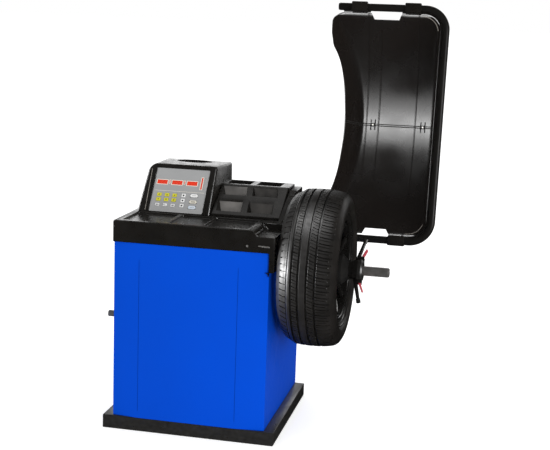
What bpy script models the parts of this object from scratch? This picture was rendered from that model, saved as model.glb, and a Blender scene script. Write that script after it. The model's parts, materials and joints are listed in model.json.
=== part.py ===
"""Wheel balancer: a cabinet on a base pan, a top cover with trays and a keypad console, a motor-driven
spindle that carries a clamped car wheel, and a tilting wheel guard on a bent tube.

Frame: metres, +Z up, the front faces -Y, the spindle points along +X.
The origin is the middle of the base pan's underside.
"""
import math

import bmesh
import bpy
from mathutils import Matrix, Vector

# ---------------------------------------------------------------- driving dimensions
GAP = 0.0003                      # play between pieces that touch
FIT = 0.0006                      # play round a piece that slides or turns

# base pan and cabinet
BASE_W, BASE_D, BASE_H = 0.707, 0.639, 0.055
BASE_WALL = 0.004
BASE_FLANGE = 0.062
CAB_W, CAB_TOP = 0.626, 0.772
CAB_FRONT, CAB_BACK = -0.3195, 0.318
CREASE_LEFT, CREASE_RIGHT, CREASE_SETBACK = -0.206, 0.194, 0.012
SHEET = 0.003

# top cover
COVER_LEFT, COVER_RIGHT = -0.3155, 0.335
COVER_FRONT, COVER_BACK, COVER_TOP = -0.3227, 0.322, 0.858
SKIRT_BOTTOM = 0.695
COVER_WALL = 0.004
ROOF = 0.014
SHELF_TOP, NOTCH_Y = 0.834, -0.160
TRAY_DEPTH = 0.009
TRAYS_X = ((-0.285, -0.112), (-0.098, 0.030), (0.044, 0.222))
TRAYS_Y = (-0.293, -0.105)

# console and its sloped face
CONSOLE_TOP = 1.040
CONSOLE_FOOT_X, CONSOLE_HEAD_X, CONSOLE_BACK_RIGHT = (-0.296, 0.0110), (-0.276, 0.0050), 0.0220
CONSOLE_BACK_Y = (0.235, 0.222)
SHOULDER_R = 0.032
FACE_FOOT_Y, FACE_HEAD_Y = -0.095, 0.035
FACE_FOOT_Z = COVER_TOP + GAP
FACE_TILT = math.atan2(CONSOLE_TOP - FACE_FOOT_Z, FACE_HEAD_Y - FACE_FOOT_Y)
PANEL_U, PANEL_V = (-0.2465, -0.0225), (0.0050, 0.2050)
PANEL_SUNK, PANEL_THICK = 0.002, 0.003
KEY_PROUD, KEY_TRAVEL = 0.0012, 0.0010
BOARD_DEPTH = 0.0075

# spindle line
SPIN_Y, SPIN_Z = -0.060, 0.676
SHAFT_R, SHAFT_END = 0.020, 0.747
HOUSING_R, HOUSING_X = 0.045, (0.0, 0.325)
BEARING_R, BEARING_W, JOURNAL_R = 0.031, 0.017, 0.0175
HUB_FACE = 0.500
FLANGE_R = 0.105
PULLEY_X = (-0.066, -0.044)
SPINDLE_PULLEY_R, MOTOR_PULLEY_R = 0.080, 0.025
BELT = 0.004
MOTOR_Y, MOTOR_Z = -0.220, 0.400

# wheel, a 225/50 R16 tyre on a 16 inch rim
TYRE_R, TYRE_IN, TYRE_OUT = 0.3155, 0.3445, 0.5775
RIM_IN, RIM_OUT = 0.359, 0.565
RIM_SEAT_R, RIM_LIP_R, RIM_DROP_R = 0.203, 0.219, 0.186
BORE_R = 0.0365
SPOKES, SPOKE_START = 10, 9.0
VALVE_ANGLE = 27.0

# quick nut
NUT_FOOT, NUT_FACE = 0.586, 0.642
NUT_TURN = math.radians(-33)          # where the wings stand when the nut is tight
WING_FOOT, WING_TIP = (0.612, 0.034), (0.638, 0.131)
LEVER_PIVOT = (0.632, 0.051)

# wheel guard: a tube frame that tilts about its bottom leg
HOOD_Y, HOOD_Z = 0.460, 0.703
HOOD_LEAN = math.radians(12.0)
TUBE_R, TUBE_BEND = 0.0165, 0.095
TUBE_RIGHT, TUBE_TOP, TUBE_FREE_END, TUBE_ROOT = 0.860, 1.028, 0.3777, 0.085
SHELL_Z, SHELL_SEAM = (0.022, 1.006), 0.528
SHELL_LEFT, SHELL_RIGHT, SHELL_DEPTH = 0.362, 0.838, 0.200
SHELL_FLARE = 0.575
SHELL_RIM = 0.014
SHELL_THICK = 0.003
EAR = 0.012                           # how far the left wall's corners stand in front of the tube's plane
# the wheel's clearance cut into the left wall: (depth, height) from its middle up, mirrored below
CUT_MIDDLE = 0.500
CUT_LINE = ((0.1145, 0.0), (0.1130, 0.050), (0.1095, 0.090), (0.1050, 0.125), (0.1010, 0.155),
            (0.0945, 0.190), (0.0855, 0.225), (0.0735, 0.260), (0.0580, 0.294), (0.0360, 0.326),
            (0.0110, 0.355), (-0.0010, 0.391), (-0.0120, 0.425))

# hanger peg, mains inlet and rocker
PEG_Y, PEG_Z, PEG_R = -0.250, 0.460, 0.0125
INLET_X, SWITCH_X, INLET_Z = -0.205, -0.150, 0.190
REAR_SHEET = 0.0015
ROCKER_TILT, ROCKER_CROWN = math.radians(7), math.radians(8)

# distance gauge
GAUGE_Y, GAUGE_Z, GAUGE_R = -0.180, 0.785, 0.005

# weight tray: the foot, the head and the back of its slope as (y, z)
TRAY_LEFT, TRAY_RIGHT = 0.0120, 0.2995
RACK_FOOT, RACK_HEAD, RACK_BACK = (-0.085, 0.866), (0.080, 0.967), 0.205
BINS_X = ((0.026, 0.131), (0.154, 0.259))
BINS_Y = ((-0.066, 0.001), (0.022, 0.072))
BIN_DEPTH, TOP_BIN_DEPTH = 0.042, 0.030

# keys, displays and level bar on the console's face, as (u, v)
KEY_ROWS = (0.0822, 0.0603, 0.0359)
KEY_COLUMNS = (-0.2165, -0.1832, -0.1509)
KEY_SIZE, ARROW_SIZE = (0.0185, 0.0150), (0.0170, 0.0120)
MENU_SIZE, OVAL_SIZE = (0.0160, 0.0160), (0.0320, 0.0135)
MENU_U, MENU_ROWS = -0.1130, (0.0838, 0.0607, 0.0376)
OVAL_U, OVAL_ROWS = -0.0686, (0.0856, 0.0572, 0.0321)
DISPLAY_U, DISPLAY_V, DISPLAY_SIZE = (-0.2145, -0.1512, -0.0872), 0.1405, (0.0440, 0.0190)
LEVEL_U, LEVEL_V, LEVEL_SIZE = -0.0468, 0.1430, (0.0065, 0.0540)

# support column and hinge bracket
COLUMN_LOW, COLUMN_HIGH, COLUMN_TOP = (0.02, -0.130), (0.20, 0.010), 0.612
HINGE_CHEEKS = ((0.108, 0.118), (0.282, 0.292))
BUSH_SEAT_R, BUSH_LIP_R = 0.0222, 0.0270

NAME = "wheel_balancer"

# ---------------------------------------------------------------- clean start
for old in list(bpy.data.objects):
    bpy.data.objects.remove(old, do_unlink=True)

parts = bpy.data.collections.new(NAME)
cutters = bpy.data.collections.new("cutters")
bpy.context.scene.collection.children.link(parts)
bpy.context.scene.collection.children.link(cutters)


# ---------------------------------------------------------------- helpers
def material(name, colour, roughness, metallic=0.0):
    """One Principled material."""
    made = bpy.data.materials.new(name)
    made.use_nodes = True
    shader = made.node_tree.nodes["Principled BSDF"]
    shader.inputs["Base Color"].default_value = (*colour, 1.0)
    shader.inputs["Roughness"].default_value = roughness
    shader.inputs["Metallic"].default_value = metallic
    return made


BLUE_PAINT = material("blue_paint", (0.004, 0.060, 0.610), 0.40)
BLACK_PAINT = material("black_paint", (0.012, 0.012, 0.012), 0.45)
BLACK_PLASTIC = material("black_plastic", (0.020, 0.019, 0.018), 0.42)
GUARD_PLASTIC = material("guard_plastic", (0.014, 0.012, 0.012), 0.30)
GREY_PANEL = material("grey_panel", (0.450, 0.450, 0.460), 0.55)
RED_DISPLAY = material("red_display", (0.800, 0.060, 0.030), 0.25)
YELLOW_KEY = material("yellow_key", (0.850, 0.740, 0.030), 0.50)
WHITE_KEY = material("white_key", (0.850, 0.850, 0.850), 0.50)
BEIGE_KEY = material("beige_key", (0.780, 0.730, 0.600), 0.50)
PALE_KEY = material("pale_blue_key", (0.680, 0.760, 0.860), 0.50)
GREEN_BOARD = material("green_board", (0.020, 0.180, 0.060), 0.50)
STEEL = material("steel", (0.420, 0.420, 0.420), 0.30, 1.0)
CAST_IRON = material("cast_iron", (0.120, 0.120, 0.125), 0.60, 0.6)
ALUMINIUM = material("aluminium", (0.600, 0.600, 0.610), 0.35, 1.0)
GREY_METAL = material("grey_metal", (0.300, 0.300, 0.300), 0.45, 0.5)
RUBBER = material("rubber", (0.018, 0.017, 0.016), 0.75)
TYRE_RUBBER = material("tyre_rubber", (0.024, 0.022, 0.020), 0.65)
DARK_ALLOY = material("dark_alloy", (0.025, 0.024, 0.022), 0.35, 0.6)
RED_GRIP = material("red_grip", (0.600, 0.030, 0.060), 0.45)
NYLON = material("nylon", (0.700, 0.690, 0.650), 0.50)


def link(thing, collection=parts):
    collection.objects.link(thing)
    return thing


def from_bmesh(name, shape, finish=None, smooth=None):
    """Turn a bmesh into a named object. smooth is the sharp-edge angle in degrees."""
    mesh = bpy.data.meshes.new(name)
    bmesh.ops.recalc_face_normals(shape, faces=shape.faces[:])
    shape.to_mesh(mesh)
    shape.free()
    if finish:
        mesh.materials.append(finish)
    if smooth:
        mesh.shade_smooth()
        mesh.set_sharp_from_angle(angle=math.radians(smooth))
    return link(bpy.data.objects.new(name, mesh))


def box(name, low, high, finish=None):
    """An axis-aligned block between two corners."""
    low, high = Vector(low), Vector(high)
    shape = bmesh.new()
    size = Matrix.Diagonal((*(high - low), 1.0))
    bmesh.ops.create_cube(shape, size=1.0, matrix=Matrix.Translation((low + high) / 2) @ size)
    return from_bmesh(name, shape, finish)


def block(name, bottom, top, finish=None):
    """A block with sloping sides: a cube whose bottom and top rectangles (x0, x1, y0, y1, z) differ."""
    shape = bmesh.new()
    bmesh.ops.create_cube(shape, size=2.0)
    for corner in shape.verts:
        x0, x1, y0, y1, z = top if corner.co.z > 0 else bottom
        corner.co = (x1 if corner.co.x > 0 else x0, y1 if corner.co.y > 0 else y0, z)
    return from_bmesh(name, shape, finish)


AXIS_TURN = {"X": Matrix.Rotation(math.pi / 2, 4, "Y"), "Y": Matrix.Rotation(-math.pi / 2, 4, "X"),
             "Z": Matrix.Identity(4)}


def rod(name, radius, start, length, axis="X", finish=None, segments=32, end_radius=None):
    """A cylinder or cone that runs from start along +axis."""
    shape = bmesh.new()
    move = Matrix.Translation(start) @ AXIS_TURN[axis] @ Matrix.Translation((0, 0, length / 2))
    bmesh.ops.create_cone(shape, cap_ends=True, segments=segments, radius1=radius,
                          radius2=radius if end_radius is None else end_radius,
                          depth=length, matrix=move)
    return from_bmesh(name, shape, finish, smooth=40)


def turned(name, profile, finish, steps=28, centre=(0.0, SPIN_Y, SPIN_Z)):
    """A body of revolution about an X axis through centre; profile points are (x, radius)."""
    area = sum(a[0] * b[1] - b[0] * a[1] for a, b in zip(profile, profile[1:] + profile[:1]))
    points = profile if area > 0 else profile[::-1]
    mesh = bpy.data.meshes.new(name)
    edges = [(i, (i + 1) % len(points)) for i in range(len(points))]
    if points[0][1] == 0 or any(p[1] == 0 for p in points):
        while not (points[0][1] == 0 and points[-1][1] == 0):
            points = points[1:] + points[:1]
        edges = edges[:-1]
    mesh.from_pydata([(x, r, 0.0) for x, r in points], edges, [])
    mesh.materials.append(finish)
    body = link(bpy.data.objects.new(name, mesh))
    body.location = centre
    screw = body.modifiers.new("turn", "SCREW")
    screw.axis = "X"
    screw.steps = screw.render_steps = steps
    screw.use_merge_vertices = True
    screw.merge_threshold = 0.00001
    screw.use_smooth_shade = True
    return body


def prism(name, outline, axis, low, high, finish=None, smooth=None):
    """A flat outline pushed along an axis. The outline is (y, z) for X, (x, z) for Y, (x, y) for Z."""
    place = {"X": lambda a, b, h: (h, a, b), "Y": lambda a, b, h: (a, h, b), "Z": lambda a, b, h: (a, b, h)}
    shape = bmesh.new()
    ring = [shape.verts.new(place[axis](a, b, low)) for a, b in outline]
    face = shape.faces.new(ring)
    grown = bmesh.ops.extrude_face_region(shape, geom=[face])["geom"]
    shift = Vector(place[axis](0.0, 0.0, high - low))
    bmesh.ops.translate(shape, vec=shift, verts=[v for v in grown if isinstance(v, bmesh.types.BMVert)])
    return from_bmesh(name, shape, finish, smooth)


def arc(centre, radius, start, end, count):
    """Points on a circle arc; the angles are in degrees."""
    step = (end - start) / count
    return [(centre[0] + radius * math.cos(math.radians(start + step * i)),
             centre[1] + radius * math.sin(math.radians(start + step * i))) for i in range(count + 1)]


def bake(piece):
    """Apply a piece's modifiers."""
    view = bpy.context.evaluated_depsgraph_get()
    view.update()
    mesh = bpy.data.meshes.new_from_object(piece.evaluated_get(view))
    piece.modifiers.clear()
    piece.data = mesh
    return piece


def combine(piece, others, operation):
    """Boolean others into piece, and keep them in the cutters collection."""
    for other in others:
        for home in list(other.users_collection):
            home.objects.unlink(other)
        cutters.objects.link(other)
        other.hide_render = True
        other.display_type = "WIRE"
        step = piece.modifiers.new(operation.lower(), "BOOLEAN")
        step.operation = operation
        step.solver = "EXACT"
        step.object = other
    return piece


def cut(piece, *tools):
    return combine(piece, tools, "DIFFERENCE")


def join(piece, *others):
    return combine(piece, others, "UNION")


def round_edges(piece, width, segments=2, angle=40):
    bevel = piece.modifiers.new("round", "BEVEL")
    bevel.width = width
    bevel.segments = segments
    bevel.limit_method = "ANGLE"
    bevel.angle_limit = math.radians(angle)
    return piece


def round_picked(piece, picked, width, segments):
    """Round the edges whose two ends pass the test picked."""
    shape = bmesh.new()
    shape.from_mesh(piece.data)
    edges = [edge for edge in shape.edges if all(picked(corner.co) for corner in edge.verts)]
    bmesh.ops.bevel(shape, geom=edges, offset=width, segments=segments, profile=0.5, affect="EDGES")
    shape.to_mesh(piece.data)
    shape.free()
    return piece


def frame_empty(name, location, tilt_x=0.0):
    """An empty that carries a group of pieces; it sits on their axis."""
    empty = link(bpy.data.objects.new(name, None))
    empty.empty_display_size = 0.05
    empty.location = location
    empty.rotation_euler = (tilt_x, 0.0, 0.0)
    return empty


def carry(parent, *pieces):
    """Parent pieces that are modelled in the parent's own frame, with their cutters."""
    for piece in pieces:
        piece.parent = parent
        for step in piece.modifiers:
            if step.type == "BOOLEAN" and step.object.parent is None:
                step.object.parent = parent
    return pieces[0]


def hold(parent, *pieces):
    """Parent pieces that are modelled in world coordinates, and keep them where they are."""
    bpy.context.view_layer.update()
    for piece in pieces:
        piece.parent = parent
        piece.matrix_parent_inverse = parent.matrix_world.inverted()


# ---------------------------------------------------------------- base and cabinet
def make_base():
    half_w, half_d = BASE_W / 2, BASE_D / 2
    pan = round_edges(box("base_pan", (-half_w, -half_d, 0), (half_w, half_d, BASE_H), BLACK_PAINT), 0.003)
    bake(pan)
    inner_w, inner_d = half_w - BASE_WALL, half_d - BASE_WALL
    hollow = box("pan_hollow", (-inner_w, -inner_d, BASE_WALL), (inner_w, inner_d, BASE_H - BASE_WALL))
    mouth_w, mouth_d = half_w - BASE_FLANGE, half_d - BASE_FLANGE / 2
    mouth = box("pan_mouth", (-mouth_w, -mouth_d, BASE_H / 2), (mouth_w, mouth_d, BASE_H * 2))
    cut(pan, hollow, mouth)


def make_cabinet():
    """A folded sheet wraps the front and both sides; a flat sheet closes the back."""
    half, low, high = CAB_W / 2, BASE_H + GAP, CAB_TOP
    back_lip = 0.022
    path = [(-half + back_lip, CAB_BACK), (-half, CAB_BACK), (-half, CAB_FRONT + CREASE_SETBACK),
            (CREASE_LEFT, CAB_FRONT), (CREASE_RIGHT, CAB_FRONT), (half, CAB_FRONT + CREASE_SETBACK),
            (half, CAB_BACK), (half - back_lip, CAB_BACK)]
    shape = bmesh.new()
    ring = [shape.verts.new((x, y, low)) for x, y in path]
    edges = [shape.edges.new(pair) for pair in zip(ring, ring[1:])]
    raised = [v for v in bmesh.ops.extrude_edge_only(shape, edges=edges)["geom"]
              if isinstance(v, bmesh.types.BMVert)]
    bmesh.ops.translate(shape, vec=(0, 0, high - low), verts=raised)
    mesh = bpy.data.meshes.new("cabinet_shell")
    shape.to_mesh(mesh)
    shape.free()
    mesh.materials.append(BLUE_PAINT)
    shell = link(bpy.data.objects.new("cabinet_shell", mesh))
    wall = shell.modifiers.new("sheet", "SOLIDIFY")
    wall.thickness = SHEET
    wall.offset = 1.0
    wall.use_even_offset = True
    spindle_hole = rod("spindle_hole", HOUSING_R + 0.007, (half - 0.02, SPIN_Y, SPIN_Z), 0.04)
    peg_hole = rod("peg_hole", 0.0065, (-half - 0.02, PEG_Y, PEG_Z), 0.04, segments=16)
    cut(shell, spindle_hole, peg_hole)

    rear = box("rear_panel", (-half + 0.006, CAB_BACK + GAP, low + 0.010),
               (half - 0.006, CAB_BACK + GAP + REAR_SHEET, high - 0.004), BLUE_PAINT)
    cut(rear, box("module_hole", (INLET_X - 0.0145, 0.30, INLET_Z - 0.0125),
                  (SWITCH_X + 0.0145, 0.34, INLET_Z + 0.0125)))


def make_outside_fittings():
    """The cone peg on the left side, the mains inlet and the rocker switch on the back."""
    half = CAB_W / 2
    peg = rod("hanger_peg", PEG_R, (-half - 0.042, PEG_Y, PEG_Z), 0.042 - GAP, "X", GREY_METAL, 24)
    join(peg, rod("peg_stud", 0.006, (-half - 0.01, PEG_Y, PEG_Z), 0.022, segments=16))

    # the mains inlet and the rocker switch share one moulded module
    back = CAB_BACK + GAP + REAR_SHEET
    module = box("power_inlet", (INLET_X - 0.020, back + GAP, INLET_Z - 0.018),
                 (SWITCH_X + 0.020, back + 0.004, INLET_Z + 0.018), BLACK_PLASTIC)
    join(module, box("module_body", (INLET_X - 0.014, back - 0.026, INLET_Z - 0.012),
                     (SWITCH_X + 0.014, back + 0.002, INLET_Z + 0.012)))
    cut(module, box("inlet_socket", (INLET_X - 0.011, back - 0.014, INLET_Z - 0.008),
                    (INLET_X + 0.011, back + 0.010, INLET_Z + 0.008)))
    cut(module, box("switch_well", (SWITCH_X - 0.011, back - 0.018, INLET_Z - 0.0095),
                    (SWITCH_X + 0.011, back + 0.010, INLET_Z + 0.0095)))

    pivot = frame_empty("mains_rocker_axis", (SWITCH_X, back - 0.004, INLET_Z), ROCKER_TILT)
    tall, proud, deep = 0.0078, 0.0075, 0.010
    end = proud + tall * math.sin(ROCKER_CROWN)
    outline = [(-deep, -0.004), (-deep, 0.004), (0.003, tall), (end, tall), (proud - 0.0012, 0.0),
               (end, -tall), (0.003, -tall)]
    carry(pivot, prism("mains_rocker", outline, "X", -0.0100, 0.0100, RED_GRIP))


# ---------------------------------------------------------------- top cover and weight tray
def make_cover():
    cover = box("top_cover", (COVER_LEFT, COVER_FRONT, SKIRT_BOTTOM), (COVER_RIGHT, COVER_BACK, COVER_TOP),
                BLACK_PLASTIC)
    bake(round_edges(cover, 0.006, 2))
    seat = box("cover_seat", (-1, -1, SKIRT_BOTTOM - 1), (CAB_W / 2 + GAP, 1, CAB_TOP + GAP))
    inner_back = COVER_BACK - COVER_WALL
    inner_front = COVER_FRONT + COVER_WALL
    inner_right = COVER_RIGHT - COVER_WALL
    low = SKIRT_BOTTOM - 0.01
    main = box("cover_hollow", (COVER_LEFT + COVER_WALL, inner_front, low),
               (0.222, inner_back, COVER_TOP - ROOF))
    right = box("cover_hollow_right", (0.221, inner_front, low),
                (inner_right, inner_back, SHELF_TOP - 0.006))
    rear = box("cover_hollow_rear", (0.221, NOTCH_Y + 0.006, low),
               (inner_right, inner_back, COVER_TOP - ROOF))
    cut(cover, seat, main, right, rear)

    # corner notch: an S curve down to a low shelf where the gauge head parks
    bow = [(0.400, COVER_TOP + 0.05), (0.232, COVER_TOP + 0.05), (0.232, COVER_TOP)]
    bow += arc((0.240, COVER_TOP - 0.018), 0.018, 75, 15, 4)
    bow += arc((0.276, SHELF_TOP + 0.014), 0.014, 200, 270, 4)
    bow += [(0.400, SHELF_TOP)]
    cut(cover, prism("corner_notch", bow, "Y", -0.40, NOTCH_Y))
    for number, (left, side) in enumerate(TRAYS_X):
        floor = COVER_TOP - TRAY_DEPTH
        cut(cover, block(f"tray_{number}", (left + 0.004, side - 0.004, TRAYS_Y[0] + 0.004,
                                            TRAYS_Y[1] - 0.004, floor),
                         (left, side, *TRAYS_Y, COVER_TOP + 0.001)))
    # sloping cheek on the right of the weight tray
    cheek = prism("tray_cheek", [(-0.140, 0.850), (0.085, 0.955), (0.205, 0.957), (0.215, 0.850)], "X",
                  0.3010, 0.3325)
    join(cover, cheek)
    cut(cover, rod("gauge_hole", GAUGE_R + FIT, (0.30, GAUGE_Y, GAUGE_Z), 0.06, segments=24))
    # the console is open to the cover through this hole
    cut(cover, box("console_hole", (-0.235, -0.040, 0.80), (-0.030, 0.180, 0.90)))


def rack_height(y):
    """Height of the weight tray's slope."""
    (foot_y, foot_z), (head_y, head_z) = RACK_FOOT, RACK_HEAD
    return foot_z + (head_z - foot_z) * (y - foot_y) / (head_y - foot_y)


def make_weight_tray():
    """A sloped rack with two rows of open bins and a flat row on top."""
    under = COVER_TOP + GAP
    (foot_y, foot_z), (head_y, head_z) = RACK_FOOT, RACK_HEAD
    side = [(foot_y, under), (foot_y, foot_z), (head_y, head_z), (RACK_BACK, head_z),
            (RACK_BACK + 0.008, under)]
    rack = bake(round_edges(prism("weight_tray", side, "X", TRAY_LEFT, TRAY_RIGHT, BLACK_PLASTIC), 0.003, 1))
    # the left side follows the console's wall, which opens towards the back
    cut(rack, prism("console_side", [(-0.10, -0.20), (0.0105, -0.20), (0.0250, 0.25), (-0.10, 0.25)], "Z",
                    under - 0.01, head_z + 0.01))
    for column, (left, right) in enumerate(BINS_X):
        for row, (low, high) in enumerate(BINS_Y):
            deep = max(rack_height(low) - BIN_DEPTH, under + 0.004)
            wedge = [(low, rack_height(low) + 0.02), (low, rack_height(low)), (low + 0.006, deep),
                     (low + 0.018, deep), (high, rack_height(high)), (high, rack_height(high) + 0.02)]
            cut(rack, prism(f"bin_{column}{row}", wedge, "X", left, right))
        cut(rack, box(f"top_bin_{column}", (left + 0.004, head_y + 0.014, head_z - TOP_BIN_DEPTH),
                      (right, RACK_BACK - 0.010, head_z + 0.01)))
    rear = RACK_BACK - 0.004
    hollow = [(0.070, under - 0.01), (0.070, under + 0.025), (0.105, under + 0.068), (rear, under + 0.068),
              (rear, under - 0.01)]
    cut(rack, prism("rack_hollow", hollow, "X", TRAY_LEFT + 0.018, TRAY_RIGHT - 0.004))


# ---------------------------------------------------------------- console
def key_list():
    """Name, centre u, centre v, width, height and finish of each key."""
    names = (("distance_up_key", "width_up_key", "diameter_up_key"),
             ("distance_down_key", "width_down_key", "diameter_down_key"),
             ("left_arrow_key", "mode_arrow_key", "right_arrow_key"))
    keys = []
    for row, v in enumerate(KEY_ROWS):
        for column, u in enumerate(KEY_COLUMNS):
            size, finish = (KEY_SIZE, YELLOW_KEY) if row < 2 else (ARROW_SIZE, WHITE_KEY)
            keys.append((names[row][column], u, v, *size, finish))
    for row, v in enumerate(MENU_ROWS):
        keys.append((f"menu_key_{row + 1}", MENU_U, v, *MENU_SIZE, WHITE_KEY))
    ovals = (("start_key", WHITE_KEY), ("stop_key", BEIGE_KEY), ("fine_key", PALE_KEY))
    for (name, finish), v in zip(ovals, OVAL_ROWS):
        keys.append((name, OVAL_U, v, *OVAL_SIZE, finish))
    return keys


def make_console():
    foot, head = FACE_FOOT_Z, CONSOLE_TOP
    (left_foot, right_foot), (left_head, right_head) = CONSOLE_FOOT_X, CONSOLE_HEAD_X
    back_foot, back_head = CONSOLE_BACK_Y
    shell = block("console_housing", (left_foot, right_foot, FACE_FOOT_Y, back_foot, foot),
                  (left_head, right_head, FACE_HEAD_Y, back_head, head), BLACK_PLASTIC)
    for corner in shell.data.vertices:
        if corner.co.y > back_head - GAP and corner.co.x > 0:
            corner.co.x = CONSOLE_BACK_RIGHT
    round_picked(shell, lambda spot: spot.z > head - GAP and spot.x < left_head + GAP, SHOULDER_R, 3)
    bake(round_edges(shell, 0.008, 2))
    wall, slope = 0.004, 0.006
    rear_foot, rear_head = back_foot - wall, back_head - wall
    hollow = block("console_hollow",
                   (left_foot + slope, right_foot - wall, FACE_FOOT_Y + 0.022, rear_foot, foot - 0.010),
                   (left_head + slope, right_head - wall, FACE_HEAD_Y + 0.022, rear_head, head - wall))
    round_picked(hollow, lambda spot: spot.z > head - 2 * wall and spot.x < left_head + 2 * slope,
                 SHOULDER_R, 3)
    cut(shell, hollow)
    flat = box("console_foot_trim", (-1, -1, 0), (1, 1, foot))
    face = frame_empty("console_face", (0.0, FACE_FOOT_Y, FACE_FOOT_Z), FACE_TILT)
    window = box("panel_window", (PANEL_U[0] - GAP, PANEL_V[0] - GAP, -0.05),
                 (PANEL_U[1] + GAP, PANEL_V[1] + GAP, 0.02))
    window.parent = face
    cut(shell, flat, window)

    under, over = -PANEL_SUNK - PANEL_THICK, -PANEL_SUNK
    panel = box("console_panel", (PANEL_U[0], PANEL_V[0], under), (PANEL_U[1], PANEL_V[1], over), GREY_PANEL)
    carry(face, panel)

    def opening(name, u, v, width, height):
        tool = box(name + "_opening", (u - width / 2 - FIT, v - height / 2 - FIT, under - 0.01),
                   (u + width / 2 + FIT, v + height / 2 + FIT, over + 0.01))
        tool.parent = face
        cut(panel, tool)

    for name, u in zip(("display_left", "display_middle", "display_right"), DISPLAY_U):
        wide, tall = DISPLAY_SIZE
        opening(name, u, DISPLAY_V, wide, tall)
        lens = box(name, (u - wide / 2, DISPLAY_V - tall / 2, -BOARD_DEPTH + GAP),
                   (u + wide / 2, DISPLAY_V + tall / 2, over - 0.0003), RED_DISPLAY)
        carry(face, lens)
    wide, tall = LEVEL_SIZE
    opening("level_bar", LEVEL_U, LEVEL_V, wide, tall)
    carry(face, box("level_bar", (LEVEL_U - wide / 2, LEVEL_V - tall / 2, -BOARD_DEPTH + GAP),
                    (LEVEL_U + wide / 2, LEVEL_V + tall / 2, over - 0.0003), RED_DISPLAY))

    for name, u, v, wide, tall, finish in key_list():
        opening(name, u, v, wide, tall)
        base, crown = -0.0062, over + KEY_PROUD
        if name in ("start_key", "stop_key", "fine_key"):
            reach = (wide - tall) / 2
            outline = arc((u + reach, v), tall / 2, -90, 90, 8) + arc((u - reach, v), tall / 2, 90, 270, 8)
            key = prism(name, outline, "Z", base, crown, finish, smooth=40)
        else:
            key = box(name, (u - wide / 2, v - tall / 2, base), (u + wide / 2, v + tall / 2, crown), finish)
            round_edges(key, 0.0006, 1)
        centre = Vector((u, v, 0.0))
        bake(key).data.transform(Matrix.Translation(-centre))
        key.location = centre
        carry(face, key)

    board = box("main_board", (PANEL_U[0] + 0.002, 0.020, -BOARD_DEPTH - 0.0016),
                (PANEL_U[1] - 0.002, PANEL_V[1] - 0.004, -BOARD_DEPTH), GREEN_BOARD)
    carry(face, board)


# ---------------------------------------------------------------- inner frame, motor and belt
def make_column():
    """A welded channel that stands on the base pan and carries the spindle housing."""
    floor, plate, wall = BASE_WALL + GAP, 0.012, 0.006
    column = box("support_column", (*COLUMN_LOW, floor), (*COLUMN_HIGH, COLUMN_TOP), CAST_IRON)
    foot = box("column_foot", (-0.030, -0.180, floor), (0.250, 0.060, floor + plate))
    inside = box("column_inside", (-0.5, COLUMN_LOW[1] + wall, floor + plate),
                 (COLUMN_HIGH[0] - wall, COLUMN_HIGH[1] - wall, COLUMN_TOP - plate))
    ear = box("sensor_ear", (0.080, -0.148, 0.560), (0.150, -0.1300, SPIN_Z + 0.022))
    join(column, foot)
    cut(column, inside)
    join(column, ear)


def make_spindle_housing():
    x0, x1 = HOUSING_X
    bore, seat = 0.026, BEARING_R + GAP
    step0, step1 = x0 + BEARING_W + 0.002, x1 - BEARING_W - 0.002
    profile = [(x0, seat), (x0, 0.052), (x0 + 0.020, 0.052), (x0 + 0.020, HOUSING_R),
               (x1 - 0.012, HOUSING_R), (x1, HOUSING_R - 0.004), (x1, seat), (step1, seat), (step1, bore),
               (step0, bore), (step0, seat)]
    housing = bake(turned("spindle_housing", profile, CAST_IRON))
    housing_foot = box("housing_foot", (0.035, SPIN_Y - 0.030, COLUMN_TOP + GAP),
                       (0.190, SPIN_Y + 0.030, SPIN_Z - 0.040))
    join(housing, housing_foot)
    for name, start in (("rear_bearing", x0 + 0.001), ("front_bearing", x1 - 0.001 - BEARING_W)):
        ring = [(start, JOURNAL_R + GAP), (start, BEARING_R), (start + BEARING_W, BEARING_R),
                (start + BEARING_W, JOURNAL_R + GAP)]
        turned(name, ring, STEEL, 24)
    ear_y, housing_y = COLUMN_LOW[1] + GAP, SPIN_Y - HOUSING_R - GAP
    rod("force_sensor", 0.016, (0.115, ear_y, SPIN_Z), housing_y - ear_y, "Y", STEEL, 24)


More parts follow.
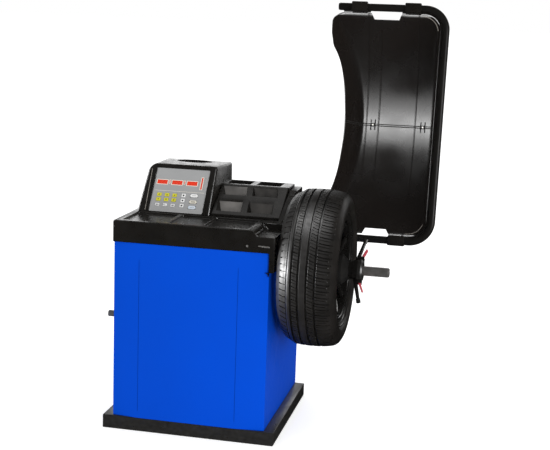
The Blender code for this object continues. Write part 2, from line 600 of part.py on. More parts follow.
def make_spindle():
    """The shaft with its flange, and what turns with it."""
    axis = frame_empty("spindle_axis", (0.0, SPIN_Y, SPIN_Z))
    flange_back, recess = 0.438, 0.452
    shaft = [(-0.085, 0.0), (-0.085, 0.012), (-0.040, 0.012), (-0.040, JOURNAL_R), (0.339, JOURNAL_R),
             (0.339, 0.034), (flange_back - 0.02, 0.034), (flange_back, 0.050), (flange_back, FLANGE_R),
             (HUB_FACE - GAP, FLANGE_R), (HUB_FACE - GAP, FLANGE_R - 0.020), (recess, FLANGE_R - 0.026),
             (recess, SHAFT_R), (SHAFT_END - 0.004, SHAFT_R), (SHAFT_END, SHAFT_R - 0.004), (SHAFT_END, 0.0)]
    pieces = [turned("spindle_shaft", shaft, STEEL)]
    x0, x1 = PULLEY_X
    rim = SPINDLE_PULLEY_R
    pulley = [(x0, 0.012 + GAP), (x0, rim + 0.003), (x0 + 0.002, rim + 0.003), (x0 + 0.002, rim),
              (x1 - 0.002, rim), (x1 - 0.002, rim + 0.003), (x1, rim + 0.003), (x1, rim - 0.008),
              (x0 + 0.006, rim - 0.008), (x0 + 0.006, 0.024), (x1 - 0.001, 0.024), (x1 - 0.001, 0.012 + GAP)]
    pieces.append(turned("spindle_pulley", pulley, ALUMINIUM, 32))
    disc = [(-0.080, 0.012 + GAP), (-0.080, 0.055), (-0.078, 0.055), (-0.078, 0.020), (-0.070, 0.020),
            (-0.070, 0.012 + GAP)]
    pieces.append(turned("encoder_disc", disc, BLACK_PLASTIC, 24))
    cone = [(0.474, SHAFT_R + FIT), (0.474, 0.0431), (0.482, 0.0431), (0.5235, 0.0270),
            (0.5235, SHAFT_R + FIT)]
    pieces.append(turned("centring_cone", cone, STEEL, 24))
    pieces += make_wheel()
    hold(axis, *pieces)
    make_quick_nut(axis)


def make_wheel():
    """Rim with spokes, tyre and valve."""
    width_in, width_out = RIM_IN, RIM_OUT
    lip, seat, drop, skin = RIM_LIP_R, RIM_SEAT_R, RIM_DROP_R, 0.006
    outer = [(width_in, lip), (width_in + 0.005, lip), (width_in + 0.008, seat - 0.001),
             (width_in + 0.034, seat - 0.001), (width_in + 0.050, drop), (width_out - 0.060, drop),
             (width_out - 0.044, seat - 0.001), (width_out - 0.008, seat - 0.001), (width_out - 0.005, lip),
             (width_out, lip)]
    inner = [(width_out, lip - 0.005), (width_out - 0.006, seat - 0.010), (width_out - 0.046, seat - 0.012),
             (width_out - 0.064, drop - skin), (width_in + 0.054, drop - skin),
             (width_in + 0.036, seat - 0.012), (width_in + 0.006, seat - 0.010), (width_in, lip - 0.005)]
    rim = bake(turned("wheel_rim", outer + inner, DARK_ALLOY, 40))
    hub = [(HUB_FACE, BORE_R), (HUB_FACE, 0.076), (0.524, 0.078), (0.530, 0.074), (0.522, 0.067),
           (0.522, BORE_R)]
    spokes = [bake(turned("rim_hub", hub, DARK_ALLOY, 32))]
    for number in range(SPOKES):
        angle = math.radians(360 / SPOKES * number + SPOKE_START)
        # a spoke leans outwards from the hub to the rim's front lip
        spoke = block(f"spoke_{number}", (0.505, 0.523, -0.013, 0.013, 0.068),
                      (0.532, 0.550, -0.010, 0.010, seat - 0.007))
        spoke.data.transform(Matrix.Rotation(angle, 4, "X"))
        spoke.location = (0.0, SPIN_Y, SPIN_Z)
        spokes.append(spoke)
    join(rim, *spokes)
    width, middle = TYRE_OUT - TYRE_IN, (TYRE_OUT + TYRE_IN) / 2
    half = width / 2
    bead, heel = 0.0915, RIM_SEAT_R + 0.0005
    outside = [(bead, heel), (bead, RIM_LIP_R + 0.0005), (half * 0.920, 0.2290), (half, 0.2580),
               (half * 0.945, 0.2840), (half * 0.800, 0.3040), (half * 0.620, 0.3120), (0.0, TYRE_R)]
    inside = [(0.0, TYRE_R - 0.014), (half * 0.600, 0.2985), (half * 0.900, 0.2680), (half * 0.690, 0.2200),
              (half * 0.590, heel)]
    profile = [(middle - x, r) for x, r in outside[:-1]] + [(middle + x, r) for x, r in outside[::-1]]
    profile += [(middle + x, r) for x, r in inside[::-1]] + [(middle - x, r) for x, r in inside[1:]]
    tyre = turned("tyre", profile, TYRE_RUBBER, 44)
    valve_x = width_out - 0.030
    valve_top, valve_foot = 0.165, seat - 0.0145
    valve = rod("valve_stem", 0.0055, (0, 0, valve_top), valve_foot - valve_top, "Z", RUBBER, 12)
    valve.data.transform(Matrix.Rotation(math.radians(VALVE_ANGLE), 4, "X"))
    valve.location = (valve_x, SPIN_Y, SPIN_Z)
    return [rim, tyre, valve]


def make_quick_nut(spindle_axis):
    """The quick nut with its two wings, two squeeze levers and pressure cup, which slide on the shaft."""
    axis = frame_empty("quick_nut_axis", (0.0, 0.0, 0.0), NUT_TURN)
    carry(spindle_axis, axis)
    bore, origin = SHAFT_R + FIT, (0.0, 0.0, 0.0)
    cup = [(0.5225, 0.058), (0.5225, 0.064), (0.560, 0.060), (0.574, 0.044), (NUT_FOOT - GAP, 0.040),
           (NUT_FOOT - GAP, bore), (0.578, bore), (0.568, 0.040), (0.556, 0.054)]
    carry(axis, turned("pressure_cup", cup, RUBBER, centre=origin))
    body = [(NUT_FOOT, bore), (NUT_FOOT, 0.036), (0.604, 0.036), (0.604, 0.041), (0.621, 0.041),
            (0.621, 0.045), (0.635, 0.045), (NUT_FACE, 0.038), (NUT_FACE, bore)]
    nut = bake(turned("quick_nut", body, BLACK_PAINT, centre=origin))
    carry(axis, nut)
    (foot_x, foot_r), (tip_x, tip_r) = WING_FOOT, WING_TIP
    lean = math.atan2(tip_x - foot_x, tip_r - foot_r)
    length = math.hypot(tip_x - foot_x, tip_r - foot_r)
    pivot_x, pivot_r = LEVER_PIVOT
    for name, sign in (("upper_squeeze_lever", 1), ("lower_squeeze_lever", -1)):
        wing = rod(name + "_wing", 0.0085, (0, 0, 0), length, "Z", segments=16, end_radius=0.0065)
        tip = rod(name + "_wing_tip", 0.0090, (0, 0, length - 0.012), 0.016, "Z", segments=16)
        for bar in (wing, tip):
            bar.data.transform(Matrix.Rotation(lean, 4, "Y"))
            bar.data.transform(Matrix.Translation((foot_x, 0, foot_r)))
        ear = box(name + "_ear", (pivot_x - 0.0090, -0.0135, 0.0360), (pivot_x + 0.0090, 0.0135, 0.0560))
        slot = box(name + "_slot", (pivot_x - 0.0160, -0.0090, 0.0462), (pivot_x + 0.0240, 0.0090, 0.0700))
        if sign < 0:
            for tool in (wing, tip, ear, slot):
                tool.data.transform(Matrix.Rotation(math.pi, 4, "X"))
        for tool in (wing, tip, ear, slot):
            tool.parent = axis
        join(nut, ear)
        cut(nut, slot)
        join(nut, wing, tip)
        pivot = frame_empty(name + "_axis", (pivot_x, 0.0, sign * pivot_r))
        carry(axis, pivot)
        # the lever leans outwards, along the shaft, from its pivot to its tip
        outline = [(-0.0050, -0.0030), (0.0060, -0.0030), (0.0080, 0.0080), (0.0195, 0.0350),
                   (0.0180, 0.0385), (0.0130, 0.0385), (-0.0005, 0.0100)]
        outline = [(x, z * sign) for x, z in outline]
        lever = prism(name, outline, "Y", -0.0084, 0.0084, RED_GRIP)
        carry(pivot, bake(round_edges(lever, 0.0008, 1)))


def make_motor():
    """The motor hangs on a bracket at the front of the column and drives the spindle by a belt."""
    x0, x1 = PULLEY_X
    body = rod("drive_motor", 0.048, (-0.0057, MOTOR_Y, MOTOR_Z), 0.150, "X", CAST_IRON, 32)
    join(body, box("motor_box", (0.030, MOTOR_Y - 0.025, MOTOR_Z + 0.030),
                   (0.110, MOTOR_Y + 0.025, MOTOR_Z + 0.070)))
    face_x = (-0.0120, -0.0060)
    wall_y = (COLUMN_LOW[1] - GAP - 0.006, COLUMN_LOW[1] - GAP)
    bracket = box("motor_bracket", (face_x[0], wall_y[0], MOTOR_Z - 0.060),
                  (0.170, wall_y[1], MOTOR_Z + 0.060), BLACK_PAINT)
    join(bracket, box("bracket_face", (face_x[0], MOTOR_Y - 0.055, MOTOR_Z - 0.055),
                      (face_x[1], wall_y[1] - 0.001, MOTOR_Z + 0.055)))
    cut(bracket, rod("motor_shaft_hole", 0.012, (-0.05, MOTOR_Y, MOTOR_Z), 0.1, segments=24))
    axis = frame_empty("motor_axis", (0.0, MOTOR_Y, MOTOR_Z))
    rim = MOTOR_PULLEY_R
    profile = [(x0, 0.0), (x0, rim + 0.003), (x0 + 0.002, rim + 0.003), (x0 + 0.002, rim),
               (x1 - 0.002, rim), (x1 - 0.002, rim + 0.003), (x1, rim + 0.003), (x1, 0.007),
               (-0.0065, 0.007), (-0.0065, 0.0)]
    pulley = turned("motor_pulley", profile, ALUMINIUM, 20, (0.0, MOTOR_Y, MOTOR_Z))
    hold(axis, pulley)
    make_belt()


def belt_loop(extra):
    """Outline (y, z) of a loop round both pulleys, extra outside their running faces."""
    big, small = Vector((SPIN_Y, SPIN_Z)), Vector((MOTOR_Y, MOTOR_Z))
    line = big - small
    heading = math.degrees(math.atan2(line.y, line.x))
    swing = math.degrees(math.asin((SPINDLE_PULLEY_R - MOTOR_PULLEY_R) / line.length))
    upper = heading - 90 - swing
    loop = arc(big, SPINDLE_PULLEY_R + extra, upper, upper + 180 + 2 * swing, 24)
    return loop + arc(small, MOTOR_PULLEY_R + extra, upper + 180 + 2 * swing, upper + 360, 10)


def make_belt():
    x0, x1 = PULLEY_X[0] + 0.0028, PULLEY_X[1] - 0.0028
    belt = prism("drive_belt", belt_loop(BELT + GAP), "X", x0, x1, RUBBER, smooth=40)
    cut(belt, prism("belt_inside", belt_loop(GAP), "X", x0 - 0.01, x1 + 0.01))


# ---------------------------------------------------------------- width and distance gauge
def make_gauge():
    """A pull-out rod that measures the distance to the rim."""
    axis = frame_empty("gauge_axis", (0.0, GAUGE_Y, GAUGE_Z))
    bar = rod("gauge_rod", GAUGE_R, (0.080, GAUGE_Y, GAUGE_Z), 0.270, "X", STEEL, 20)
    join(bar, rod("gauge_knob", 0.011, (0.342, GAUGE_Y, GAUGE_Z), 0.022, segments=24))
    hold(axis, bar)


# ---------------------------------------------------------------- wheel guard
def make_hinge_bracket():
    """A welded bracket behind the cabinet; nylon bushes carry the guard tube."""
    back = CAB_BACK + 2 * GAP + REAR_SHEET
    plate = box("hinge_bracket", (0.090, back, HOOD_Z - 0.075), (0.310, back + 0.008, HOOD_Z + 0.060),
                BLACK_PAINT)
    for number, (x0, x1) in enumerate(HINGE_CHEEKS):
        cheek = [(back + 0.004, HOOD_Z - 0.075), (HOOD_Y, HOOD_Z - 0.034)]
        cheek += arc((HOOD_Y, HOOD_Z), 0.034, -75, 90, 8)
        cheek += [(back + 0.004, HOOD_Z + 0.050)]
        join(plate, prism(f"hinge_cheek_{number}", cheek, "X", x0, x1))
    web = box("hinge_web", (HINGE_CHEEKS[0][1] - 0.002, back + 0.004, HOOD_Z - 0.060),
              (HINGE_CHEEKS[1][0] + 0.002, HOOD_Y - 0.040, HOOD_Z - 0.052))
    join(plate, web)
    for number, (x0, x1) in enumerate(HINGE_CHEEKS):
        cut(plate, rod(f"bush_seat_{number}", BUSH_SEAT_R, (x0 - 0.02, HOOD_Y, HOOD_Z), 0.06))
        name = ("left_hinge_bush", "right_hinge_bush")[number]
        inner, outer, lip = TUBE_R + FIT, BUSH_SEAT_R - GAP, BUSH_LIP_R
        if number == 0:
            ring = [(x0, inner), (x0, outer), (x1 + GAP, outer), (x1 + GAP, lip), (x1 + 0.003, lip),
                    (x1 + 0.003, inner)]
        else:
            ring = [(x0 - 0.003, inner), (x0 - 0.003, lip), (x0 - GAP, lip), (x0 - GAP, outer), (x1, outer),
                    (x1, inner)]
        turned(name, ring, NYLON, 20, (0.0, HOOD_Y, HOOD_Z))


def guard_tube():
    """The bent tube: bottom leg, right rail and top leg."""
    low = (TUBE_RIGHT - TUBE_BEND, TUBE_BEND)
    high = (TUBE_RIGHT - TUBE_BEND, TUBE_TOP - TUBE_BEND)
    route = [(TUBE_ROOT, 0.0)] + arc(low, TUBE_BEND, -90, 0, 8) + arc(high, TUBE_BEND, 0, 90, 8)
    route += [(TUBE_FREE_END, TUBE_TOP)]
    curve = bpy.data.curves.new("guard_tube", "CURVE")
    curve.dimensions = "3D"
    curve.bevel_depth = TUBE_R
    curve.bevel_resolution = 5
    curve.use_fill_caps = True
    spline = curve.splines.new("POLY")
    spline.points.add(len(route) - 1)
    for point, (x, z) in zip(spline.points, route):
        point.co = (x, 0.0, z, 1.0)
    curve.materials.append(BLACK_PAINT)
    return link(bpy.data.objects.new("guard_tube", curve))


def guard_outline(low, high):
    """Front outline (x, z) of the guard between two heights, with its hand-hold notches."""
    left, right = SHELL_LEFT - SHELL_FLARE * EAR, SHELL_RIGHT
    bottom, top = SHELL_Z
    corner, big = 0.055, 0.078
    if low <= bottom:
        line = arc((left + corner, bottom + corner), corner, 180, 270, 6)
        line += [(0.556, bottom), (0.568, bottom + 0.026), (0.660, bottom + 0.026), (0.676, bottom)]
        line += arc((right - big, bottom + big), big, 270, 360, 8)
        return line + [(right, high), (left, high)]
    line = arc((right - big, top - big), big, 0, 90, 8)
    line += [(0.661, top), (0.649, top - 0.026), (0.539, top - 0.026), (0.525, top)]
    line += arc((left + corner, top - corner), corner, 90, 180, 6)
    return line + [(left, low), (right, low)]


def guard_half(name, low, high):
    """One half of the guard: a sheet that bulges back, with a slanted left and a straight right wall."""
    bottom, top = SHELL_Z
    middle, half = (bottom + top) / 2, (top - bottom) / 2
    radius = (half * half + SHELL_DEPTH ** 2) / (2 * SHELL_DEPTH)
    rows, turn = 14, 0.030
    shape = bmesh.new()
    grid = []
    for row in range(rows + 1):
        z = low + (high - low) * row / rows
        depth = SHELL_DEPTH - radius + math.sqrt(radius ** 2 - (z - middle) ** 2)
        depth = max(depth, SHELL_RIM)
        knee = min(turn, depth * 0.45)
        corner = SHELL_LEFT + SHELL_FLARE * depth
        section = [(SHELL_LEFT - SHELL_FLARE * EAR, -EAR), (corner - SHELL_FLARE * knee, depth - knee)]
        section += [(corner + knee * 0.12, depth - knee * 0.22), (corner + knee * 0.95, depth)]
        wall = SHELL_RIGHT - 0.006
        section += [(SHELL_RIGHT - 0.25, depth), (SHELL_RIGHT - 0.12, depth), (wall - knee, depth),
                    (wall - knee * 0.25, depth - knee * 0.30), (wall + 0.001, depth - knee),
                    (wall + 0.004, 0.0)]
        grid.append([shape.verts.new((x, y, z)) for x, y in section])
    for under, over in zip(grid, grid[1:]):
        for i in range(len(under) - 1):
            shape.faces.new((under[i], under[i + 1], over[i + 1], over[i]))
    mesh = bpy.data.meshes.new(name)
    shape.to_mesh(mesh)
    shape.free()
    mesh.materials.append(GUARD_PLASTIC)
    shell = link(bpy.data.objects.new(name, mesh))
    wall = shell.modifiers.new("sheet", "SOLIDIFY")
    wall.thickness = SHELL_THICK
    wall.offset = -1.0
    outline = prism(name + "_outline", guard_outline(low, high), "Y", -0.05, SHELL_DEPTH + 0.05)
    combine(shell, [outline], "INTERSECT")
    upper = [(depth, CUT_MIDDLE + rise) for depth, rise in CUT_LINE]
    lower = [(depth, CUT_MIDDLE - rise) for depth, rise in CUT_LINE[:0:-1]]
    far = -0.1
    wheel_cut = [(far, lower[0][1])] + lower + upper + [(far, upper[-1][1])]
    return cut(shell, prism(name + "_wheel_cut", wheel_cut, "X", 0.2, 0.56))


def make_guard():
    axis = frame_empty("guard_axis", (0.0, HOOD_Y, HOOD_Z), -HOOD_LEAN)
    seam = 0.0004
    pieces = [guard_tube(), guard_half("guard_lower_shell", SHELL_Z[0], SHELL_SEAM - seam),
              guard_half("guard_upper_shell", SHELL_SEAM + seam, SHELL_Z[1])]
    grip, wide = TUBE_R + 0.0055, 0.072
    bore = TUBE_R + GAP
    spots = (("upper_left_clamp", 0.437, TUBE_TOP, -1), ("upper_right_clamp", 0.675, TUBE_TOP, -1),
             ("lower_right_clamp", 0.675, 0.0, 1))
    for name, left, level, side in spots:
        # a saddle round the tube with a tab behind the shell's edge
        saddle = box(name, (left, -grip, level - grip), (left + wide, grip, level + grip), BLACK_PLASTIC)
        bake(round_edges(saddle, 0.004, 2))
        cut(saddle, rod(name + "_bore", bore, (left - 0.01, 0.0, level), wide + 0.02, segments=20))
        edge = SHELL_Z[1] if side < 0 else SHELL_Z[0]
        lip = sorted((edge - side * GAP, level + side * (grip + 0.01)))
        trim = box(name + "_trim", (left - 0.01, -0.1, lip[0]), (left + wide + 0.01, 0.1, lip[1]))
        pieces.append(cut(saddle, trim))
    carry(axis, *pieces)


make_base()
make_cabinet()
make_outside_fittings()
make_cover()
make_weight_tray()
make_console()
make_column()
make_spindle_housing()
make_spindle()
make_motor()
make_gauge()
make_hinge_bracket()
make_guard()
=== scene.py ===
"""The looks of the wheel balancer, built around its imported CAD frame.

Every place comes from the frame's boxes. Metres, +Z up, the front faces -Y, the spindle points along +X.
"""

import json
import math

import bmesh
import bpy
from mathutils import Matrix, Vector


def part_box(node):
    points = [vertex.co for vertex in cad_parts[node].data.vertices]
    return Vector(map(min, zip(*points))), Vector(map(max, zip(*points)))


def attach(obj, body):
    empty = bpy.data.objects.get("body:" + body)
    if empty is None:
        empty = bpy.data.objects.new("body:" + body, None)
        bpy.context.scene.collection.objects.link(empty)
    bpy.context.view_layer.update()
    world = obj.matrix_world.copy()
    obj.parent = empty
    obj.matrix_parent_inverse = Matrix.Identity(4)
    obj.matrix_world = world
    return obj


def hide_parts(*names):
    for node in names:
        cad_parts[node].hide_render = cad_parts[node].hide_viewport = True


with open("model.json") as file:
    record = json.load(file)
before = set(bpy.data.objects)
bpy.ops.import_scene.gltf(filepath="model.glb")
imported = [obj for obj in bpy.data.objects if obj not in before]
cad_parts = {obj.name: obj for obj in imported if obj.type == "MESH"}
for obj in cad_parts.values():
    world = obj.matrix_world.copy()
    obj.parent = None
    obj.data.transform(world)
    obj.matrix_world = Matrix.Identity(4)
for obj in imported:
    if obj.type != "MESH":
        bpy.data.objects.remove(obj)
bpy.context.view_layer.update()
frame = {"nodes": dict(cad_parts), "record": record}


# ---- places, read from the frame
def centre(node):
    low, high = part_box(node)
    return (low + high) / 2


SPIN_Y, SPIN_Z = centre("spindle_pulley").yz
GUARD_Y, GUARD_Z = centre("left_hinge_bush").yz
GUARD_LEAN = math.radians(12.0)
GUARD_FRAME = Matrix.Translation((0.0, GUARD_Y, GUARD_Z)) @ Matrix.Rotation(-GUARD_LEAN, 4, "X")


def on_guard(point):
    """A point given in the guard's own leaning frame."""
    return GUARD_FRAME @ Vector(point)


# the console's face: u runs along X, v up the slope, w out of the face; keys of one kind lie in one plane
KEY_CROWN = 0.0027
FACE_V = (centre("distance_up_key") - centre("left_arrow_key")).normalized()
FACE_W = Vector((1.0, 0.0, 0.0)).cross(FACE_V)


def face_frame(node, rise=0.0):
    """A frame on the console's face above a node's centre."""
    made = Matrix((Vector((1.0, 0.0, 0.0)), FACE_V, FACE_W)).transposed().to_4x4()
    made.translation = centre(node) + FACE_W * rise
    return made


# ---- materials
def finish(name, colour, rough, metallic=0.0, mottle=0.12, patches=6.0, grain=0.0, grain_scale=900.0,
           dust=0.0, coat=0.0, specular=0.5, edge=0.0, glow=0.0, brushed=None):
    """A procedural finish: mottle varies the colour over patches, grain is the depth of the surface texture
    in millimetres, dust lies on what faces up, edge lightens worn edges, brushed stretches the grain."""
    made = bpy.data.materials.new(name)
    made.use_nodes = True
    nodes, links = made.node_tree.nodes, made.node_tree.links
    shader = nodes["Principled BSDF"]
    shader.inputs["Metallic"].default_value = metallic
    shader.inputs["Coat Weight"].default_value = coat
    shader.inputs["Coat Roughness"].default_value = 0.12
    shader.inputs["Specular IOR Level"].default_value = specular
    place = nodes.new("ShaderNodeTexCoord").outputs["Object"]

    def noise(scale, detail=4.0, stretch=None):
        source = place
        if stretch:
            mapping = nodes.new("ShaderNodeMapping")
            mapping.inputs["Scale"].default_value = stretch
            links.new(place, mapping.inputs["Vector"])
            source = mapping.outputs["Vector"]
        cloud = nodes.new("ShaderNodeTexNoise")
        cloud.inputs["Scale"].default_value = scale
        cloud.inputs["Detail"].default_value = detail
        links.new(source, cloud.inputs["Vector"])
        return cloud.outputs["Fac"]

    def remap(source, from_low, from_high, low, high):
        ranged = nodes.new("ShaderNodeMapRange")
        for socket, value in zip(("From Min", "From Max", "To Min", "To Max"), (from_low, from_high, low, high)):
            ranged.inputs[socket].default_value = value
        links.new(source, ranged.inputs["Value"])
        return ranged.outputs["Result"]

    def blend(factor, under, over):
        mix = nodes.new("ShaderNodeMix")
        mix.data_type = "RGBA"
        links.new(factor, mix.inputs["Factor"])
        for socket, value in ((mix.inputs[6], under), (mix.inputs[7], over)):
            if isinstance(value, tuple):
                socket.default_value = (*value, 1.0)
            else:
                links.new(value, socket)
        return mix.outputs[2]

    def times(a, b):
        product = nodes.new("ShaderNodeMath")
        product.operation = "MULTIPLY"
        for socket, value in zip(product.inputs, (a, b)):
            if isinstance(value, float):
                socket.default_value = value
            else:
                links.new(value, socket)
        return product.outputs["Value"]

    dark = tuple(c * (1.0 - mottle) for c in colour)
    light = tuple(min(c * (1.0 + mottle), 1.0) for c in colour)
    patch = noise(patches)
    shade = blend(remap(patch, 0.35, 0.65, 0.0, 1.0), dark, light)
    geometry = nodes.new("ShaderNodeNewGeometry")
    if edge:
        worn = times(remap(geometry.outputs["Pointiness"], 0.53, 0.6, 0.0, edge), noise(60.0))
        shade = blend(worn, shade, tuple(0.45 + 0.5 * c for c in colour))
    if dust:
        split = nodes.new("ShaderNodeSeparateXYZ")
        links.new(geometry.outputs["Normal"], split.inputs["Vector"])
        lying = times(remap(split.outputs["Z"], 0.55, 1.0, 0.0, dust), remap(noise(38.0, 8.0), 0.35, 0.7, 0.2, 1.0))
        shade = blend(lying, shade, (0.3, 0.285, 0.26))
    links.new(shade, shader.inputs["Base Color"])
    streaks = noise(patches * 4.0, 6.0, brushed)
    links.new(remap(streaks, 0.3, 0.7, max(rough - 0.07, 0.03), min(rough + 0.07, 1.0)), shader.inputs["Roughness"])
    if grain:
        bump = nodes.new("ShaderNodeBump")
        bump.inputs["Strength"].default_value = 0.6
        bump.inputs["Distance"].default_value = grain * 0.001
        links.new(noise(grain_scale, 3.0, brushed), bump.inputs["Height"])
        links.new(bump.outputs["Normal"], shader.inputs["Normal"])
    if glow:
        shader.inputs["Emission Color"].default_value = (*colour, 1.0)
        shader.inputs["Emission Strength"].default_value = glow
    return made


SLOT_FINISH = {
    "blue_paint": finish("blue_powder_coat", (0.0001, 0.037, 0.33), 0.55, mottle=0.03, patches=2.5, grain=0.05,
                         grain_scale=420.0, specular=0.03),
    "black_paint": finish("black_powder_coat", (0.009, 0.008, 0.0068), 0.34, mottle=0.15, grain=0.06,
                          grain_scale=600.0, dust=0.01, edge=0.08),
    "black_plastic": finish("black_moulding", (0.0105, 0.009, 0.0075), 0.3, mottle=0.16, patches=9.0, grain=0.05,
                            grain_scale=1500.0, dust=0.02),
    "guard_plastic": finish("guard_sheet", (0.0125, 0.01, 0.0086), 0.25, mottle=0.06, patches=1.5, grain=0.02,
                            grain_scale=240.0, specular=0.6),
    "grey_panel": finish("panel_foil", (0.35, 0.353, 0.355), 0.5, mottle=0.03, grain=0.02, grain_scale=1800.0,
                         specular=0.3),
    "red_display": finish("display_red", (0.62, 0.03, 0.012), 0.3, mottle=0.06, glow=0.1, specular=0.2),
    "yellow_key": finish("key_yellow", (0.68, 0.63, 0.02), 0.42, mottle=0.04, grain=0.02),
    "white_key": finish("key_white", (0.86, 0.86, 0.85), 0.42, mottle=0.03, grain=0.02),
    "beige_key": finish("key_beige", (0.72, 0.68, 0.58), 0.42, mottle=0.04, grain=0.02),
    "pale_blue_key": finish("key_pale_blue", (0.64, 0.71, 0.79), 0.42, mottle=0.04, grain=0.02),
    "green_board": finish("board_mask", (0.02, 0.18, 0.06), 0.4, mottle=0.1),
    "steel": finish("turned_steel", (0.22, 0.213, 0.204), 0.42, 0.55, patches=30.0, grain=0.03,
                    grain_scale=500.0, brushed=(8.0, 1.0, 1.0)),
    "cast_iron": finish("cast_iron_skin", (0.12, 0.12, 0.125), 0.6, 0.5, mottle=0.2, grain=0.25,
                        grain_scale=350.0),
    "aluminium": finish("machined_aluminium", (0.6, 0.6, 0.61), 0.32, 1.0, mottle=0.08),
    "grey_metal": finish("grey_enamel", (0.15, 0.15, 0.152), 0.42, 0.3, mottle=0.1, grain=0.05),
    "rubber": finish("black_rubber", (0.013, 0.012, 0.011), 0.72, mottle=0.15, grain=0.08),
    "tyre_rubber": finish("tyre_compound", (0.0145, 0.0125, 0.0108), 0.44, mottle=0.22, patches=14.0, grain=0.08,
                          grain_scale=1100.0, dust=0.01),
    "dark_alloy": finish("dark_alloy_lacquer", (0.016, 0.0148, 0.0135), 0.3, 0.5, patches=10.0,
                         grain=0.03, coat=0.3),
    "red_grip": finish("red_dipped_grip", (0.52, 0.06, 0.085), 0.42, mottle=0.1, grain=0.04),
    "nylon": finish("natural_nylon", (0.7, 0.69, 0.65), 0.48, mottle=0.05, grain=0.03),
}
# painted highlight on the bins' back ramps, and a darker copy that paints shade on the right column's ramps
BIN_RAMP_HIGHLIGHT = finish("bin_ramp_painted_highlight", (0.15, 0.142, 0.134), 0.5, mottle=0.25, patches=18.0)
BIN_RAMP_SHADE = finish("shaded_bin_face", (0.052, 0.048, 0.044), 0.5, mottle=0.25, patches=18.0)
# a darker blue: painted shade along the front panel's crease lines
CREASE_SHADE_PAINT = finish("front_crease_painted_shade", (0.0001, 0.022, 0.19), 0.55, mottle=0.03, specular=0.03)
CREAM = finish("display_border", (0.9, 0.84, 0.72), 0.45, mottle=0.03)
INK = finish("key_print", (0.02, 0.02, 0.022), 0.5, mottle=0.1)
TICK = finish("scale_print", (0.14, 0.135, 0.135), 0.5, mottle=0.1)
SEGMENT = finish("lit_segment", (0.85, 0.07, 0.025), 0.3, mottle=0.03, glow=0.25)
ZINC = finish("zinc_screw", (0.42, 0.41, 0.39), 0.34, 0.7, mottle=0.1, patches=60.0, grain=0.02)
# a light line painted as a highlight, on the guard's right corners and left of the console's panel
PAINTED_HIGHLIGHT = finish("painted_highlight_line", (0.32, 0.295, 0.26), 0.4, mottle=0.08, patches=20.0)


# ---- modelling helpers
def new_mesh(name, shape):
    """Turn a bmesh into a mesh."""
    mesh = bpy.data.meshes.new(name)
    shape.to_mesh(mesh)
    shape.free()
    return mesh


def new_object(name, data):
    """Put an object with this data in the scene."""
    made = bpy.data.objects.new(name, data)
    bpy.context.scene.collection.objects.link(made)
    return made


def round_edges(piece, width, segments, angle, clamp=False, harden=False):
    """Round the edges that are sharper than an angle in degrees."""
    rounding = piece.modifiers.new("rounding", "BEVEL")
    rounding.width, rounding.segments = width, segments
    rounding.limit_method = "ANGLE"
    rounding.angle_limit = math.radians(angle)
    rounding.use_clamp_overlap = clamp
    rounding.harden_normals = harden


def make(name, shape, slot, body, stands_for=(), smooth=35.0, bevel=0.0, segments=2, bevel_angle=50.0,
         paint=None, recalc=True):
    """Turn a bmesh into a piece that rides on a body."""
    if recalc:
        bmesh.ops.recalc_face_normals(shape, faces=shape.faces[:])
    mesh = new_mesh(name, shape)
    mesh.materials.append(paint or SLOT_FINISH[slot])
    mesh.shade_smooth()
    mesh.set_sharp_from_angle(angle=math.radians(smooth))
    piece = new_object(name, mesh)
    if bevel:
        round_edges(piece, bevel, segments, bevel_angle, harden=True)
    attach(piece, body)
    if stands_for:
        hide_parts(*stands_for)
    return piece


def cad_shape(node):
    """A bmesh copy of a CAD node, with its triangles joined at their corners."""
    shape = bmesh.new()
    shape.from_mesh(frame["nodes"][node].data)
    bmesh.ops.remove_doubles(shape, verts=shape.verts[:], dist=0.00002)
    return shape


def join_rows(shape, under, over, closed=True):
    """Add the faces between two rows of vertices."""
    for i in range(len(under) if closed else len(under) - 1):
        j = (i + 1) % len(under)
        shape.faces.new((under[i], under[j], over[j], over[i]))


def add_prism(shape, outline, low, high, matrix=Matrix.Identity(4)):
    """Add a flat outline (x, y), pushed from z low to z high in the matrix's frame."""
    under, over = ([shape.verts.new(matrix @ Vector((x, y, z))) for x, y in outline] for z in (low, high))
    shape.faces.new(under[::-1])
    shape.faces.new(over)
    join_rows(shape, under, over)


def add_box(shape, low, high, matrix=Matrix.Identity(4)):
    low, high = Vector(low), Vector(high)
    size = Matrix.Diagonal((*(high - low), 1.0))
    bmesh.ops.create_cube(shape, size=1.0, matrix=matrix @ Matrix.Translation((low + high) / 2) @ size)


def rect(u, v, wide, tall, corner=0.0, steps=4):
    """A rectangle outline, with round corners where asked."""
    if not corner:
        return [(u - wide / 2, v - tall / 2), (u + wide / 2, v - tall / 2),
                (u + wide / 2, v + tall / 2), (u - wide / 2, v + tall / 2)]
    outline = []
    for quarter, (su, sv) in enumerate(((1, 1), (-1, 1), (-1, -1), (1, -1))):
        middle = (u + su * (wide / 2 - corner), v + sv * (tall / 2 - corner))
        outline += arc(middle, corner, 90 * quarter, 90 * quarter + 90, steps)
    return outline


def arc(middle, radius, start, end, steps):
    """Points on a circle arc; the angles are in degrees."""
    turns = [math.radians(start + (end - start) * i / steps) for i in range(steps + 1)]
    return [(middle[0] + radius * math.cos(t), middle[1] + radius * math.sin(t)) for t in turns]


def smooth_line(points, steps):
    """A Catmull-Rom curve through the points."""
    line = []
    padded = [points[0], *points, points[-1]]
    for a, b, c, d in zip(padded, padded[1:], padded[2:], padded[3:]):
        for i in range(steps):
            t = i / steps
            line.append(tuple(0.5 * (2 * q + (r - p) * t + (2 * p - 5 * q + 4 * r - s) * t * t
                                     + (3 * q - p - 3 * r + s) * t ** 3) for p, q, r, s in zip(a, b, c, d)))
    return line + [tuple(points[-1])]


